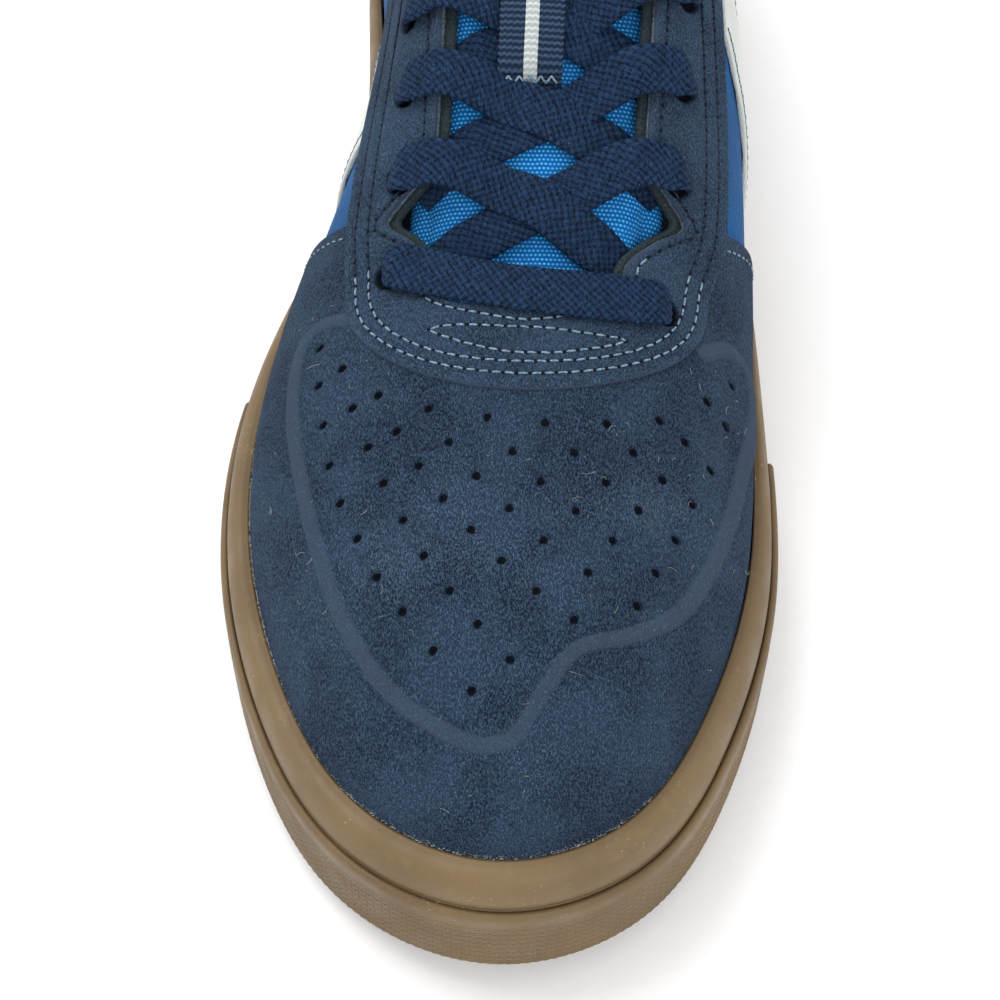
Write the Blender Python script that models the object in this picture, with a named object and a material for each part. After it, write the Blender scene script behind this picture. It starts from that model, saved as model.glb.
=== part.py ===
"""Left skateboarding shoe: cupsole, hollow upper, overlays, tongue and flat laces.

Metres, +Z up. The toe points to -Y, the medial side is -X, and the origin is on the
ground under the middle of the sole.
"""
import math

import bmesh
import bpy
import numpy as np

MM = 0.001

# Main sizes
LENGTH = 296 * MM
BALL_WIDTH = 109 * MM
INSTEP_HEIGHT = 98 * MM
HEEL_HEIGHT = 78 * MM
RIM_HEIGHT = 28 * MM
TOE_SPRING = 8 * MM
ARCH_LIFT = 1.6 * MM
CLEARANCE = 0.3 * MM

# Sole
OUTSOLE_THICK = 6 * MM
OUTSOLE_ROUND = 2 * MM
MIDSOLE_TOP = 14 * MM
INSOLE_THICK = 4 * MM
FOXING_THICK = 4.9 * MM
FOXING_GROOVE = 0.9 * MM
GROOVE_HEIGHT = 21.4 * MM
TOE_STRIP_THICK = 1.3 * MM
TOE_STRIP_LIFT = 1.2 * MM
TOE_STRIP_EDGE = 0.6 * MM
TREAD_DEPTH = 2.2 * MM
TREAD_WIDTH = 2.6 * MM
TREAD_PITCH = 15 * MM
TREAD_WAVE = 30 * MM
TREAD_SWING = 4 * MM
TREAD_BORDER = 9 * MM

# Upper
WALL = 2 * MM
COLLAR_PAD = 5 * MM
COLLAR_PAD_DEPTH = 34 * MM
THROAT_WIDTH = 38 * MM
THROAT_FRONT = 7 * MM
THROAT_LIP = 0.5 * MM
VAMP_SAG = 6.5 * MM
SIDE_SWELL = 6.5 * MM
HEEL_SWELL = 3.2 * MM
OVERLAY_THICK = 1.2 * MM
EYESTAY_THICK = 2 * MM
EYESTAY_FRONT = 24.5 * MM
EYESTAY_WIDTH = 33 * MM
BAND_THICK = 0.9 * MM
BAND_WIDTH = 27 * MM
TONGUE_THICK = 4 * MM
TONGUE_DROP = 2.6 * MM

# Laces
LACE_WIDTH = 9 * MM
LACE_THICK = 1.6 * MM
LACE_TUCK = 4.5 * MM
EYELET_OUT = 25 * MM
EYELET_MARGIN = 1 * MM
KEEPER_WIDTH = 12 * MM
KEEPER_THICK = 1.2 * MM


def table(columns, *rows):
    """Rows of numbers under named columns."""
    return dict(zip(columns.split(), np.array(rows, float).T))


# Outsole outline. along is a share of LENGTH from the toe; across is a share of
# BALL_WIDTH, lateral side positive.
OUTLINE = table(
    "along across",
    (0.000, 0.007),
    (0.034, 0.243),
    (0.108, 0.374),
    (0.222, 0.470),
    (0.358, 0.486),
    (0.470, 0.478),
    (0.580, 0.456),
    (0.720, 0.440),
    (0.850, 0.440),
    (0.950, 0.340),
    (1.000, 0.085),
    (0.950, -0.175),
    (0.850, -0.272),
    (0.700, -0.270),
    (0.570, -0.292),
    (0.470, -0.382),
    (0.365, -0.462),
    (0.245, -0.470),
    (0.127, -0.386),
    (0.042, -0.245),
)

# Virtual ridge over the foot. height is a share of INSTEP_HEIGHT, across of BALL_WIDTH.
RIDGE = table(
    "along height across",
    (0.375, 0.645, 0.066),
    (0.420, 0.735, 0.083),
    (0.485, 0.865, 0.097),
    (0.550, 1.000, 0.105),
    (0.600, 1.090, 0.106),
    (0.700, 1.190, 0.100),
    (0.860, 1.235, 0.090),
)

# Squareness of the cross sections: 2 is an ellipse, more is boxier. The sides swell
# by shares of SIDE_SWELL at mid height, and the heel low down by HEEL_SWELL.
FULLNESS = table(
    "along power lateral medial heel",
    (0.00, 2.50, 0.00, 0.00, 0.30),
    (0.20, 2.35, 0.10, 0.05, 0.30),
    (0.38, 2.20, 0.55, 0.10, 0.30),
    (0.50, 2.15, 1.00, 0.10, 0.30),
    (0.60, 2.15, 1.15, 0.10, 0.40),
    (0.72, 2.20, 0.60, 0.10, 0.60),
    (0.85, 2.35, 0.00, 0.00, 1.00),
    (1.00, 2.40, 0.00, 0.00, 1.00),
)

# Collar edge. height is a share of HEEL_HEIGHT.
TOPLINE = table(
    "along height",
    (0.615, 1.370),
    (0.645, 1.310),
    (0.678, 1.130),
    (0.714, 0.950),
    (0.752, 0.845),
    (0.808, 0.785),
    (0.880, 0.840),
    (0.950, 0.950),
    (1.000, 1.000),
)

# Throat edge beside the laces, with its flex notch. half_gap is a share of THROAT_WIDTH.
THROAT = table(
    "along half_gap",
    (0.375, 0.450),
    (0.388, 0.480),
    (0.401, 0.580),
    (0.414, 0.700),
    (0.425, 0.620),
    (0.438, 0.510),
    (0.480, 0.490),
    (0.560, 0.500),
    (0.640, 0.560),
)

# Outer edge of the eyestay. out is a share of EYESTAY_WIDTH.
EYESTAY_EDGE = table(
    "along out",
    (0.375, 1.000),
    (0.420, 1.050),
    (0.530, 0.970),
    (0.600, 0.900),
    (0.640, 0.860),
)

# Eyelet rows, from the toe up.
EYELET_ROWS = (0.377, 0.4355, 0.488, 0.538, 0.588, 0.636)
FACING_END = 0.654

# Plain side bands: side is +1 lateral, -1 medial; foot and head are the band's front
# edge at the sole and at the eyestay.
BANDS = table(
    "side foot head",
    (+1, 0.475, 0.530),
    (-1, 0.470, 0.490),
)

# Tongue stations. rise is added to the height of the facings, as a share of
# TONGUE_RISE; half_width is a share of EYESTAY_WIDTH.
TONGUE_RISE = 24 * MM
TONGUE = table(
    "along rise half_width",
    (0.335, 0.00, 0.60),
    (0.360, 0.00, 0.66),
    (0.400, 0.00, 0.72),
    (0.480, 0.00, 0.74),
    (0.560, 0.00, 0.74),
    (0.640, 0.00, 0.60),
    (0.662, 0.25, 0.56),
    (0.682, 0.64, 0.74),
    (0.696, 0.88, 0.84),
    (0.704, 1.00, 0.78),
)

# Places along the shoe, as shares of LENGTH from the toe
RIDGE_FRONT = 0.375
RIDGE_BACK = 0.860
SPRING_END = 0.300
TOE_STRIP_ENDS = {+1: 0.331, -1: 0.376}
VAMP_SEAM = {"foot": 0.465, "head": 0.425}
COUNTER_FRONT = {"foot": 0.745, "head": 0.860}

# The eyestay keeps inside this share of a rib; the counter's top is at this share of
# the height from rim to collar, and takes over from the eyestay between two places.
EYESTAY_SHARE = 0.95
COUNTER_SHARE = 0.64
COUNTER_LINE = (0.494, 0.674)

# Rib angle that lifts a line clear of the others where it doesn't apply
LINE_LIFT = 0.5

# Facets: ribs round the shoe, rows on the quarter, rows on the facing
STATIONS = 84
QUARTER_ROWS = 5
FACING_ROWS = 2

# Finishes: colour, roughness
FINISHES = {
    "suede": ((0.035, 0.057, 0.115), 0.90),
    "textile": ((0.035, 0.150, 0.420), 0.75),
    "lining": ((0.030, 0.040, 0.060), 0.90),
    "off_white": ((0.620, 0.640, 0.620), 0.60),
    "gum": ((0.300, 0.180, 0.090), 0.60),
    "lace": ((0.018, 0.034, 0.080), 0.85),
    "webbing": ((0.035, 0.060, 0.120), 0.80),
}


def read(source, column, at):
    """Smooth value of a table column, flat beyond its first and last rows."""
    x = source["along"]
    y = source[column]
    slope = np.zeros(len(x))
    slope[1:-1] = (y[2:] - y[:-2]) / (x[2:] - x[:-2])
    at = np.clip(np.asarray(at, float), x[0], x[-1])
    k = np.clip(np.searchsorted(x, at, side="right") - 1, 0, len(x) - 2)
    step = x[k + 1] - x[k]
    t = (at - x[k]) / step
    return (
        y[k] * (1 + 2 * t) * (1 - t) ** 2
        + y[k + 1] * t**2 * (3 - 2 * t)
        + slope[k] * step * t * (1 - t) ** 2
        - slope[k + 1] * step * t**2 * (1 - t)
    )


def smooth_step(low, high, value):
    t = np.clip((value - low) / (high - low), 0, 1)
    return t * t * (3 - 2 * t)


def closed_curve(points, count):
    """Periodic cubic spline through points, by chord length."""
    total = len(points)
    steps = np.linalg.norm(np.roll(points, -1, 0) - points, axis=1)
    before = np.roll(steps, 1)
    matrix = np.zeros((total, total))
    right = np.zeros((total, 2))
    for i in range(total):
        matrix[i, i - 1] += before[i]
        matrix[i, i] += 2 * (before[i] + steps[i])
        matrix[i, (i + 1) % total] += steps[i]
        ahead = (points[(i + 1) % total] - points[i]) / steps[i]
        behind = (points[i] - points[i - 1]) / before[i]
        right[i] = 6 * (ahead - behind)
    bend = np.linalg.solve(matrix, right)
    starts = np.concatenate([[0], np.cumsum(steps)])
    wanted = np.linspace(0, starts[-1], count, endpoint=False)
    k = np.clip(np.searchsorted(starts, wanted, side="right") - 1, 0, total - 1)
    after = (k + 1) % total
    h = steps[k][:, None]
    u = (wanted - starts[k])[:, None] / h
    return (
        points[k] * (1 - u)
        + points[after] * u
        + h**2 / 6 * (((1 - u) ** 3 - (1 - u)) * bend[k] + (u**3 - u) * bend[after])
    )


DENSE = 1440
LOOP = closed_curve(
    np.column_stack([OUTLINE["across"] * BALL_WIDTH, (OUTLINE["along"] - 0.5) * LENGTH]),
    DENSE,
)
LOOP -= (LOOP.max(0) + LOOP.min(0)) / 2
SPINE_SHIFT = LOOP[DENSE // 2, 0] - read(RIDGE, "across", RIDGE_BACK) * BALL_WIDTH


def loop_at(q):
    """Outline point and outward normal at share q of the way round, from the toe."""
    place = np.asarray(q, float) % 1 * DENSE
    k = place.astype(int) % DENSE
    f = (place - np.floor(place))[..., None]
    ahead = (k + 1) % DENSE
    point = LOOP[k] * (1 - f) + LOOP[ahead] * f
    tangent = (LOOP[ahead] - LOOP[k - 1]) * (1 - f) + (LOOP[(k + 2) % DENSE] - LOOP[k]) * f
    tangent /= np.linalg.norm(tangent, axis=-1, keepdims=True)
    return point, np.stack([tangent[..., 1], -tangent[..., 0]], -1)


def along_of(y):
    return y / LENGTH + 0.5


def spring(y):
    """Lift of the ground line under the toe."""
    t = np.clip((SPRING_END - along_of(y)) / SPRING_END, 0, None)
    return TOE_SPRING * t * t


def arch(y):
    """Extra lift of the tread under the waist."""
    s = along_of(y)
    return ARCH_LIFT * smooth_step(0.46, 0.54, s) * (1 - smooth_step(0.62, 0.70, s))


def inset_point(q, inset, height):
    """Point at a distance inside the outline and a height over the ground line."""
    point, normal = loop_at(q)
    flat = point - normal * np.asarray(inset)[..., None]
    return np.concatenate([flat, (spring(point[..., 1]) + height)[..., None]], -1)


UPPER_INSET = FOXING_THICK + CLEARANCE
UPPER_FOOT = MIDSOLE_TOP + CLEARANCE


def ribs(q):
    """Foot and head of the rib at q, its reach, rise and place along the shoe."""
    foot = inset_point(q, np.full(np.shape(q), UPPER_INSET), UPPER_FOOT)
    s = along_of(foot[..., 1])
    soft = 0.012
    low = RIDGE_FRONT + soft * np.logaddexp(0, (s - RIDGE_FRONT) / soft)
    share = RIDGE_BACK - soft * np.logaddexp(0, (RIDGE_BACK - low) / soft)
    share = np.maximum(share, RIDGE_FRONT)
    head = np.stack(
        [
            read(RIDGE, "across", share) * BALL_WIDTH + SPINE_SHIFT,
            (share - 0.5) * LENGTH,
            read(RIDGE, "height", share) * INSTEP_HEIGHT,
        ],
        -1,
    )
    reach = np.linalg.norm(head[..., :2] - foot[..., :2], axis=-1)
    return foot, head, reach, head[..., 2] - foot[..., 2], s


def turn_at_height(q, height):
    """Rib angle where the shell is a height over the ground line."""
    foot, head, reach, rise, s = ribs(q)
    z = np.clip((height + spring(foot[..., 1]) - foot[..., 2]) / rise, 0, 1)
    return np.arcsin(z ** (read(FULLNESS, "power", s) / 2))


def gap_left(q, turn):
    """Level distance from the ridge that is left at a rib angle."""
    foot, head, reach, rise, s = ribs(q)
    power = read(FULLNESS, "power", s)
    side = np.where(
        foot[..., 0] > head[..., 0], read(FULLNESS, "lateral", s), read(FULLNESS, "medial", s)
    )
    band = np.clip(np.sin(turn) ** (2 / power) / 0.62, 0, 1)
    swell = side * SIDE_SWELL * np.sin(2 * turn)
    swell = swell + read(FULLNESS, "heel", s) * HEEL_SWELL * 4 * band * (1 - band)
    return reach * np.abs(np.cos(turn)) ** (2 / power) + swell


def turn_at_gap(q, gap):
    """Rib angle where the shell is a level distance from the ridge."""
    low = np.zeros(np.shape(q)) + 0.25
    high = np.zeros(np.shape(q)) + math.pi / 2
    for _ in range(24):
        middle = (low + high) / 2
        wide = gap_left(q, middle) > gap
        low = np.where(wide, middle, low)
        high = np.where(wide, high, middle)
    return (low + high) / 2


def bare_shell(q, turn):
    foot, head, reach, rise, s = ribs(q)
    level = (foot[..., :2] - head[..., :2]) / reach[..., None]
    flat = head[..., :2] + level * gap_left(q, turn)[..., None]
    ahead = np.clip(along_of(flat[..., 1]) / RIDGE_FRONT, 0, 1)
    up = rise * np.sin(turn) ** (2 / read(FULLNESS, "power", s))
    up = up - VAMP_SAG * np.sin(math.pi * ahead) * np.sin(turn)
    return np.concatenate([flat, (foot[..., 2] + up)[..., None]], -1)


def shell(q, turn, offset=0.0):
    """Point of the upper's outer face, moved out by offset along its normal."""
    q, turn, offset = np.broadcast_arrays(
        np.asarray(q, float), np.asarray(turn, float), np.asarray(offset, float)
    )
    point = bare_shell(q, turn)
    if not np.any(offset):
        return point
    turn_a = np.clip(turn - 0.01, 0.002, None)
    turn_b = np.clip(turn + 0.01, 0.022, math.pi / 2)
    around = bare_shell(q + 0.0015, turn) - bare_shell(q - 0.0015, turn)
    upward = bare_shell(q, turn_b) - bare_shell(q, turn_a)
    normal = np.cross(around, upward)
    normal /= np.linalg.norm(normal, axis=-1, keepdims=True)
    return point + normal * offset[..., None]


def fan_angle(q):
    """Angle of a rib from straight ahead, a right angle where it is square to the foot."""
    foot, head, reach, rise, s = ribs(q)
    across = np.abs(foot[..., 0] - head[..., 0])
    ahead = np.clip(head[..., 1] - foot[..., 1], 0, None)
    return np.arctan2(across, ahead)


def round_gap(q, front, side, power):
    """Distance from the ridge end to a rounded edge round the throat."""
    angle = fan_angle(q)
    return (
        (np.abs(np.cos(angle)) / front) ** power + (np.abs(np.sin(angle)) / side) ** power
    ) ** (-1 / power)


def throat_gap(q):
    s = along_of(ribs(q)[0][..., 1])
    side = read(THROAT, "half_gap", s) * THROAT_WIDTH
    return round_gap(q, THROAT_FRONT, side, 3)


def eyestay_reach(q):
    s = along_of(ribs(q)[0][..., 1])
    side = read(EYESTAY_EDGE, "out", s) * EYESTAY_WIDTH
    return np.minimum(round_gap(q, EYESTAY_FRONT, side, 2), EYESTAY_SHARE * ribs(q)[2])


def edge_turn(q):
    """Rib angle of the upper's open edge: throat in front, collar behind."""
    s = along_of(ribs(q)[0][..., 1])
    throat = turn_at_gap(q, throat_gap(q))
    collar = turn_at_height(q, read(TOPLINE, "height", s) * HEEL_HEIGHT)
    throat = throat + smooth_step(FACING_END + 0.005, FACING_END + 0.03, s) * LINE_LIFT
    front = 1 - smooth_step(FACING_END - 0.06, FACING_END - 0.035, s)
    collar = collar + front * LINE_LIFT
    soft = 0.03
    return -soft * np.logaddexp(-throat / soft, -collar / soft)


def stations(count):
    """Shares round the outline, closer together beside the throat's notch."""
    q = np.arange(DENSE) / DENSE
    s = along_of(ribs(q)[0][:, 1])
    weight = 1 + 1.3 * np.exp(-(((s - 0.415) / 0.045) ** 2))
    total = np.concatenate([[0], np.cumsum(weight)])
    wanted = np.arange(count) / count * total[-1]
    return np.interp(wanted, total, np.arange(DENSE + 1) / DENSE)


SIDE_SHARES = {+1: (0.02, 0.48), -1: (0.98, 0.52)}


def rib_beside(along, side):
    """Share round the outline whose rib stands at along, on one side."""
    first, last = SIDE_SHARES[side]
    q = np.linspace(first, last, 600)
    return np.interp(along, along_of(ribs(q)[0][:, 1]), q)


def rib_through(x, y):
    """Share round the outline and gap from the ridge of the rib over a ground point."""
    q = np.arange(DENSE) / DENSE
    foot, head, reach, rise, s = ribs(q)
    arm = foot[:, :2] - head[:, :2]
    point = np.array([x, y]) - head[:, :2]
    miss = np.abs(arm[:, 0] * point[:, 1] - arm[:, 1] * point[:, 0]) / reach
    ahead = (arm * point).sum(1) > 0
    k = np.argmin(np.where(ahead, miss, 1.0))
    return q[k], math.hypot(*point[k])


def ridge_x(along):
    return read(RIDGE, "across", along) * BALL_WIDTH + SPINE_SHIFT


def facing_height(along):
    """Height of the shell's throat edge, mean of both sides."""
    total = 0
    for side in (+1, -1):
        q = rib_beside(along, side)
        total = total + bare_shell(q, turn_at_gap(q, 0.5 * THROAT_WIDTH))[..., 2] / 2
    return total


def finish(name):
    material = bpy.data.materials.get(name)
    if material is None:
        colour, roughness = FINISHES[name]
        material = bpy.data.materials.new(name)
        material.use_nodes = True
        shader = material.node_tree.nodes["Principled BSDF"]
        shader.inputs["Base Color"].default_value = (*colour, 1)
        shader.inputs["Roughness"].default_value = roughness
    return material


def add_piece(name, points, faces, look):
    """One object from points and faces, turned to face out."""
    mesh = bpy.data.meshes.new(name)
    work = bmesh.new()
    corners = [work.verts.new(point) for point in np.asarray(points, float)]
    for face in faces:
        work.faces.new([corners[k] for k in face])
    bmesh.ops.recalc_face_normals(work, faces=work.faces)
    if work.calc_volume(signed=True) < 0:
        bmesh.ops.reverse_faces(work, faces=work.faces)
    work.to_mesh(mesh)
    work.free()
    mesh.shade_smooth()
    mesh.set_sharp_from_angle(angle=math.radians(40))
    piece = bpy.data.objects.new(name, mesh)
    bpy.context.scene.collection.objects.link(piece)
    piece.data.materials.append(finish(look))
    return piece


def grid_faces(rows, columns, wrap_rows=False, wrap_columns=False, start=0):
    faces = []
    for r in range(rows if wrap_rows else rows - 1):
        for c in range(columns if wrap_columns else columns - 1):
            here = start + r * columns
            there = start + (r + 1) % rows * columns
            beside = (c + 1) % columns
            faces.append((here + c, here + beside, there + beside, there + c))
    return faces


def add_ring(name, sections, look):
    """Solid ring from closed sections, one row each."""
    rows, columns = sections.shape[:2]
    faces = grid_faces(rows, columns, wrap_rows=True, wrap_columns=True)
    return add_piece(name, sections.reshape(-1, 3), faces, look)


def add_rod(name, sections, look):
    """Solid from closed sections in a row, capped at both ends."""
    rows, columns = sections.shape[:2]
    faces = grid_faces(rows, columns, wrap_columns=True)
    faces.append(tuple(range(columns)))
    faces.append(tuple((rows - 1) * columns + k for k in range(columns)))
    return add_piece(name, sections.reshape(-1, 3), faces, look)


def add_sheet(name, lower, upper, look):
    """Solid between two grids of the same size."""
    rows, columns = lower.shape[:2]
    size = rows * columns
    faces = grid_faces(rows, columns) + grid_faces(rows, columns, start=size)
    rim = [c for c in range(columns)]
    rim += [r * columns + columns - 1 for r in range(1, rows)]
    rim += [(rows - 1) * columns + c for c in range(columns - 2, -1, -1)]
    rim += [r * columns for r in range(rows - 2, 0, -1)]
    for here, there in zip(rim, rim[1:] + rim[:1]):
        faces.append((here, there, there + size, here + size))
    points = np.concatenate([lower.reshape(-1, 3), upper.reshape(-1, 3)])
    return add_piece(name, points, faces, look)


def add_slab(name, loops, look):
    """Solid through level loops, closed below and above by rungs across the shoe."""
    count = loops.shape[1]
    faces = grid_faces(len(loops), count, wrap_columns=True)
    for start in (0, (len(loops) - 1) * count):
        faces.append((start, start + 1, start + count - 1))
        for i in range(1, count // 2 - 1):
            faces.append((start + i, start + i + 1, start + count - i - 1, start + count - i))
        middle = count // 2
        faces.append((start + middle - 1, start + middle, start + middle + 1))
    return add_piece(name, loops.reshape(-1, 3), faces, look)


# Rounded lower edge of the outsole, in shares of OUTSOLE_ROUND.
OUTSOLE_EDGE = table(
    "inset height",
    (0.70, 0.00),
    (0.20, 0.35),
    (0.00, 1.00),
)


def make_outsole():
    q = stations(STATIONS)
    loops = []
    for inset, height in zip(OUTSOLE_EDGE["inset"], OUTSOLE_EDGE["height"]):
        ring = inset_point(q, np.full(len(q), inset * OUTSOLE_ROUND), height * OUTSOLE_ROUND)
        ring[:, 2] += (1 - height) * arch(ring[:, 1])
        loops.append(ring)
    loops.append(inset_point(q, np.zeros(len(q)), OUTSOLE_THICK))
    outsole = add_slab("outsole", np.array(loops), "gum")
    cutter = make_tread_cutter()
    cut = outsole.modifiers.new("tread", "BOOLEAN")
    cut.operation = "DIFFERENCE"
    cut.object = cutter
    return outsole


def make_tread_cutter():
    """Wavy grooves across the ball and the heel, inside a plain border."""
    points = []
    faces = []
    dense, normals = loop_at(np.arange(DENSE) / DENSE)
    inner = dense - normals * TREAD_BORDER
    half = DENSE // 2
    for first, last in ((0.085, 0.450), (0.730, 0.950)):
        rows = int((last - first) * LENGTH / TREAD_PITCH) + 1
        for row in range(rows):
            y = (first - 0.5) * LENGTH + row * TREAD_PITCH
            right = np.interp(y, inner[10:half - 10, 1], inner[10:half - 10, 0])
            left = np.interp(y, inner[half + 10:-10, 1][::-1], inner[half + 10:-10, 0][::-1])
            steps = max(2, 2 * round((right - left) / TREAD_WAVE))
            start = len(points)
            for k in range(steps + 1):
                x = left + (right - left) * k / steps
                middle = y + (TREAD_SWING / 2 if k % 2 else -TREAD_SWING / 2)
                ground = spring(middle) + arch(middle)
                for back, depth in ((-1, 0), (1, 0), (1, 1), (-1, 1)):
                    height = ground - CLEARANCE + depth * (TREAD_DEPTH + CLEARANCE)
                    points.append((x, middle + back * TREAD_WIDTH / 2, height))
            faces += grid_faces(steps + 1, 4, wrap_columns=True, start=start)
            faces.append(tuple(start + k for k in range(4)))
            faces.append(tuple(start + steps * 4 + k for k in range(4)))
    cutter = add_piece("tread_cutter", points, faces, "gum")
    cutter.hide_render = True
    cutter.display_type = "WIRE"
    return cutter


def make_midsole():
    q = stations(60)
    inset = np.full(len(q), UPPER_INSET)
    low = inset_point(q, inset, OUTSOLE_THICK + CLEARANCE)
    high = inset_point(q, inset, MIDSOLE_TOP)
    return add_slab("midsole", np.array([low, high]), "gum")


def make_insole():
    q = stations(60)
    inset = UPPER_INSET + WALL + 2 * CLEARANCE
    low = inset_point(q, np.full(len(q), inset), UPPER_FOOT)
    high = inset_point(q, np.full(len(q), inset + 0.4 * MM), UPPER_FOOT + INSOLE_THICK)
    return add_slab("insole", np.array([low, high]), "lining")


# Outside of the foxing from its foot to the rim: depth inside the outline and height.
FOXING_SIDE = table(
    "depth height",
    (0.00, 0.00),
    (0.00, 0.93),
    (1.00, 0.97),
    (0.00, 1.01),
)
RIM_STEPS = 3


def make_foxing():
    q = stations(STATIONS)
    foot = OUTSOLE_THICK + CLEARANCE
    columns = []
    for depth, height in zip(FOXING_SIDE["depth"], FOXING_SIDE["height"]):
        level = foot + (GROOVE_HEIGHT - foot) * height
        columns.append(inset_point(q, np.full(len(q), depth * FOXING_GROOVE), level))
    shoulder = columns[-1]
    lip = shell(q, turn_at_height(q, RIM_HEIGHT), CLEARANCE)
    for k in range(1, RIM_STEPS + 1):
        angle = math.pi / 2 * k / RIM_STEPS
        inward = 1 - math.cos(angle)
        flat = shoulder[:, :2] + (lip[:, :2] - shoulder[:, :2]) * inward
        rise = shoulder[:, 2] + (lip[:, 2] - shoulder[:, 2]) * math.sin(angle)
        columns.append(np.column_stack([flat, rise]))
    for height in (RIM_HEIGHT * 0.75, UPPER_FOOT):
        columns.append(shell(q, turn_at_height(q, height), CLEARANCE))
    columns.append(inset_point(q, np.full(len(q), FOXING_THICK), foot))
    return add_ring("foxing", np.stack(columns, 1), "gum")


def make_toe_strip():
    ends = [rib_beside(TOE_STRIP_ENDS[side], side) for side in (-1, +1)]
    q = np.linspace(ends[0] - 1, ends[1], 35)
    low = TOE_STRIP_LIFT
    high = GROOVE_HEIGHT - CLEARANCE
    face = CLEARANCE + TOE_STRIP_THICK
    corners = (
        (CLEARANCE, low),
        (face - TOE_STRIP_EDGE, low),
        (face, low + TOE_STRIP_EDGE),
        (face, high - TOE_STRIP_EDGE),
        (face - TOE_STRIP_EDGE, high),
        (CLEARANCE, high),
    )
    columns = [inset_point(q, np.full(len(q), -out), level) for out, level in corners]
    return add_rod("toe_strip", np.stack(columns, 1), "gum")


def wall_at(q, turn, end):
    """Thickness of the upper, with the padding round the collar."""
    s = along_of(ribs(q)[0][..., 1])
    depth = bare_shell(q, end)[..., 2] - bare_shell(q, turn)[..., 2]
    back = smooth_step(FACING_END + 0.01, FACING_END + 0.07, s)
    return WALL + COLLAR_PAD * back * smooth_step(COLLAR_PAD_DEPTH, 0.2 * COLLAR_PAD_DEPTH, depth)


def shell_rows(q):
    """Rib angles of the shell's lines: foot, rim, eyestay edge and open edge."""
    end = edge_turn(q)
    rim = turn_at_height(q, RIM_HEIGHT + CLEARANCE)
    eyestay = turn_at_gap(q, eyestay_reach(q))
    front = 1 - smooth_step(*COUNTER_LINE, along_of(ribs(q)[0][..., 1]))
    counter = rim + COUNTER_SHARE * (end - rim) + front * LINE_LIFT
    soft = 0.02
    line = -soft * np.logaddexp(-eyestay / soft, -counter / soft)
    lower = [rim + (line - rim) * k / QUARTER_ROWS for k in range(QUARTER_ROWS + 1)]
    upper = [line + (end - line) * k / FACING_ROWS for k in range(1, FACING_ROWS + 1)]
    return lower, upper


def make_upper():
    q = stations(STATIONS)
    lower, upper = shell_rows(q)
    end = upper[-1]
    turns = [0 * end] + lower + upper
    walls = [wall_at(q, turn, end) for turn in turns]
    outside = [shell(q, turn) for turn in turns]
    inside = [shell(q, turn, -wall) for turn, wall in zip(turns, walls)]
    last = inside[-1]
    wall = walls[-1]
    before = outside[-2]
    ahead = outside[-1] - before
    ahead /= np.linalg.norm(ahead, axis=1, keepdims=True)
    lip = (outside[-1] + last) / 2 + ahead * (0.45 * wall)[:, None]
    inside[0][:, 2] = outside[0][:, 2]
    sections = outside + [lip] + inside[::-1]
    return add_ring("upper", np.stack(sections, 1), "textile")


def columns_between(first, last):
    """Shares round the outline from one slanted edge to another, one row each."""
    q = stations(STATIONS)
    q = np.concatenate([q - 1, q, q + 1])
    margin = 0.4 / STATIONS
    q = q[(q > first.max() + margin) & (q < last.min() - margin)]
    inner = np.array([q[0], q[-1]]) if len(q) else np.full(2, (first.max() + last.min()) / 2)
    columns = []
    for edge, stop in ((first, inner[0]), (last, inner[1])):
        steps = 1 + int(np.ptp(edge) * STATIONS)
        columns.append([edge + (stop - edge) * k / steps for k in range(steps)])
    middle = [np.full(len(first), here) for here in (q if len(q) else inner[:1])]
    return np.stack(columns[0] + middle + columns[1][::-1], 1)


def add_overlay(name, q, turn, thick, look):
    lower = shell(q, turn, CLEARANCE)
    upper = shell(q, turn, CLEARANCE + thick)
    return add_sheet(name, lower, upper, look)


def slanted(edge, rows):
    """Place along the shoe of an overlay's edge at each of its rows."""
    return np.linspace(edge["foot"], edge["head"], rows)


def quarter_grid(first, last):
    """Columns and rib angles of an overlay between the rim and the eyestay."""
    q = columns_between(first, last)
    turn = np.array([shell_rows(q[k])[0][k] for k in range(len(q))])
    return q, turn


def make_vamp():
    along = slanted(VAMP_SEAM, QUARTER_ROWS + 1)
    q, turn = quarter_grid(rib_beside(along, -1) - 1, rib_beside(along, +1))
    turn[-1] = turn_at_gap(q[-1], gap_left(q[-1], turn[-1]) + 1.5 * CLEARANCE)
    add_overlay("vamp", q, turn, OVERLAY_THICK, "suede")


def make_eyestay():
    ends = np.full(FACING_ROWS + 1, FACING_END - 0.012)
    q = columns_between(rib_beside(ends, -1) - 1, rib_beside(ends, +1))
    lower, upper = shell_rows(q[0])
    turn = np.array([lower[-1]] + upper)
    turn[-1] = turn_at_gap(q[0], throat_gap(q[0]) + THROAT_LIP)
    add_overlay("eyestay", q, turn, EYESTAY_THICK, "suede")


def make_counter():
    along = slanted(COUNTER_FRONT, QUARTER_ROWS + 1)
    q, turn = quarter_grid(rib_beside(along, +1), rib_beside(along, -1))
    add_overlay("heel_counter", q, turn, OVERLAY_THICK, "suede")


def make_bands():
    width = BAND_WIDTH / LENGTH
    for side, foot, head in zip(BANDS["side"], BANDS["foot"], BANDS["head"]):
        along = np.linspace(foot, head, QUARTER_ROWS + 1)
        edges = [rib_beside(along, side), rib_beside(along + width, side)]
        edges.sort(key=lambda edge: edge[0])
        q, turn = quarter_grid(*edges)
        turn[-1] = turn_at_gap(q[-1], gap_left(q[-1], turn[-1]) + 1.5 * CLEARANCE)
        name = "side_band_lateral" if side > 0 else "side_band_medial"
        add_overlay(name, q, turn, BAND_THICK, "off_white")


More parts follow.
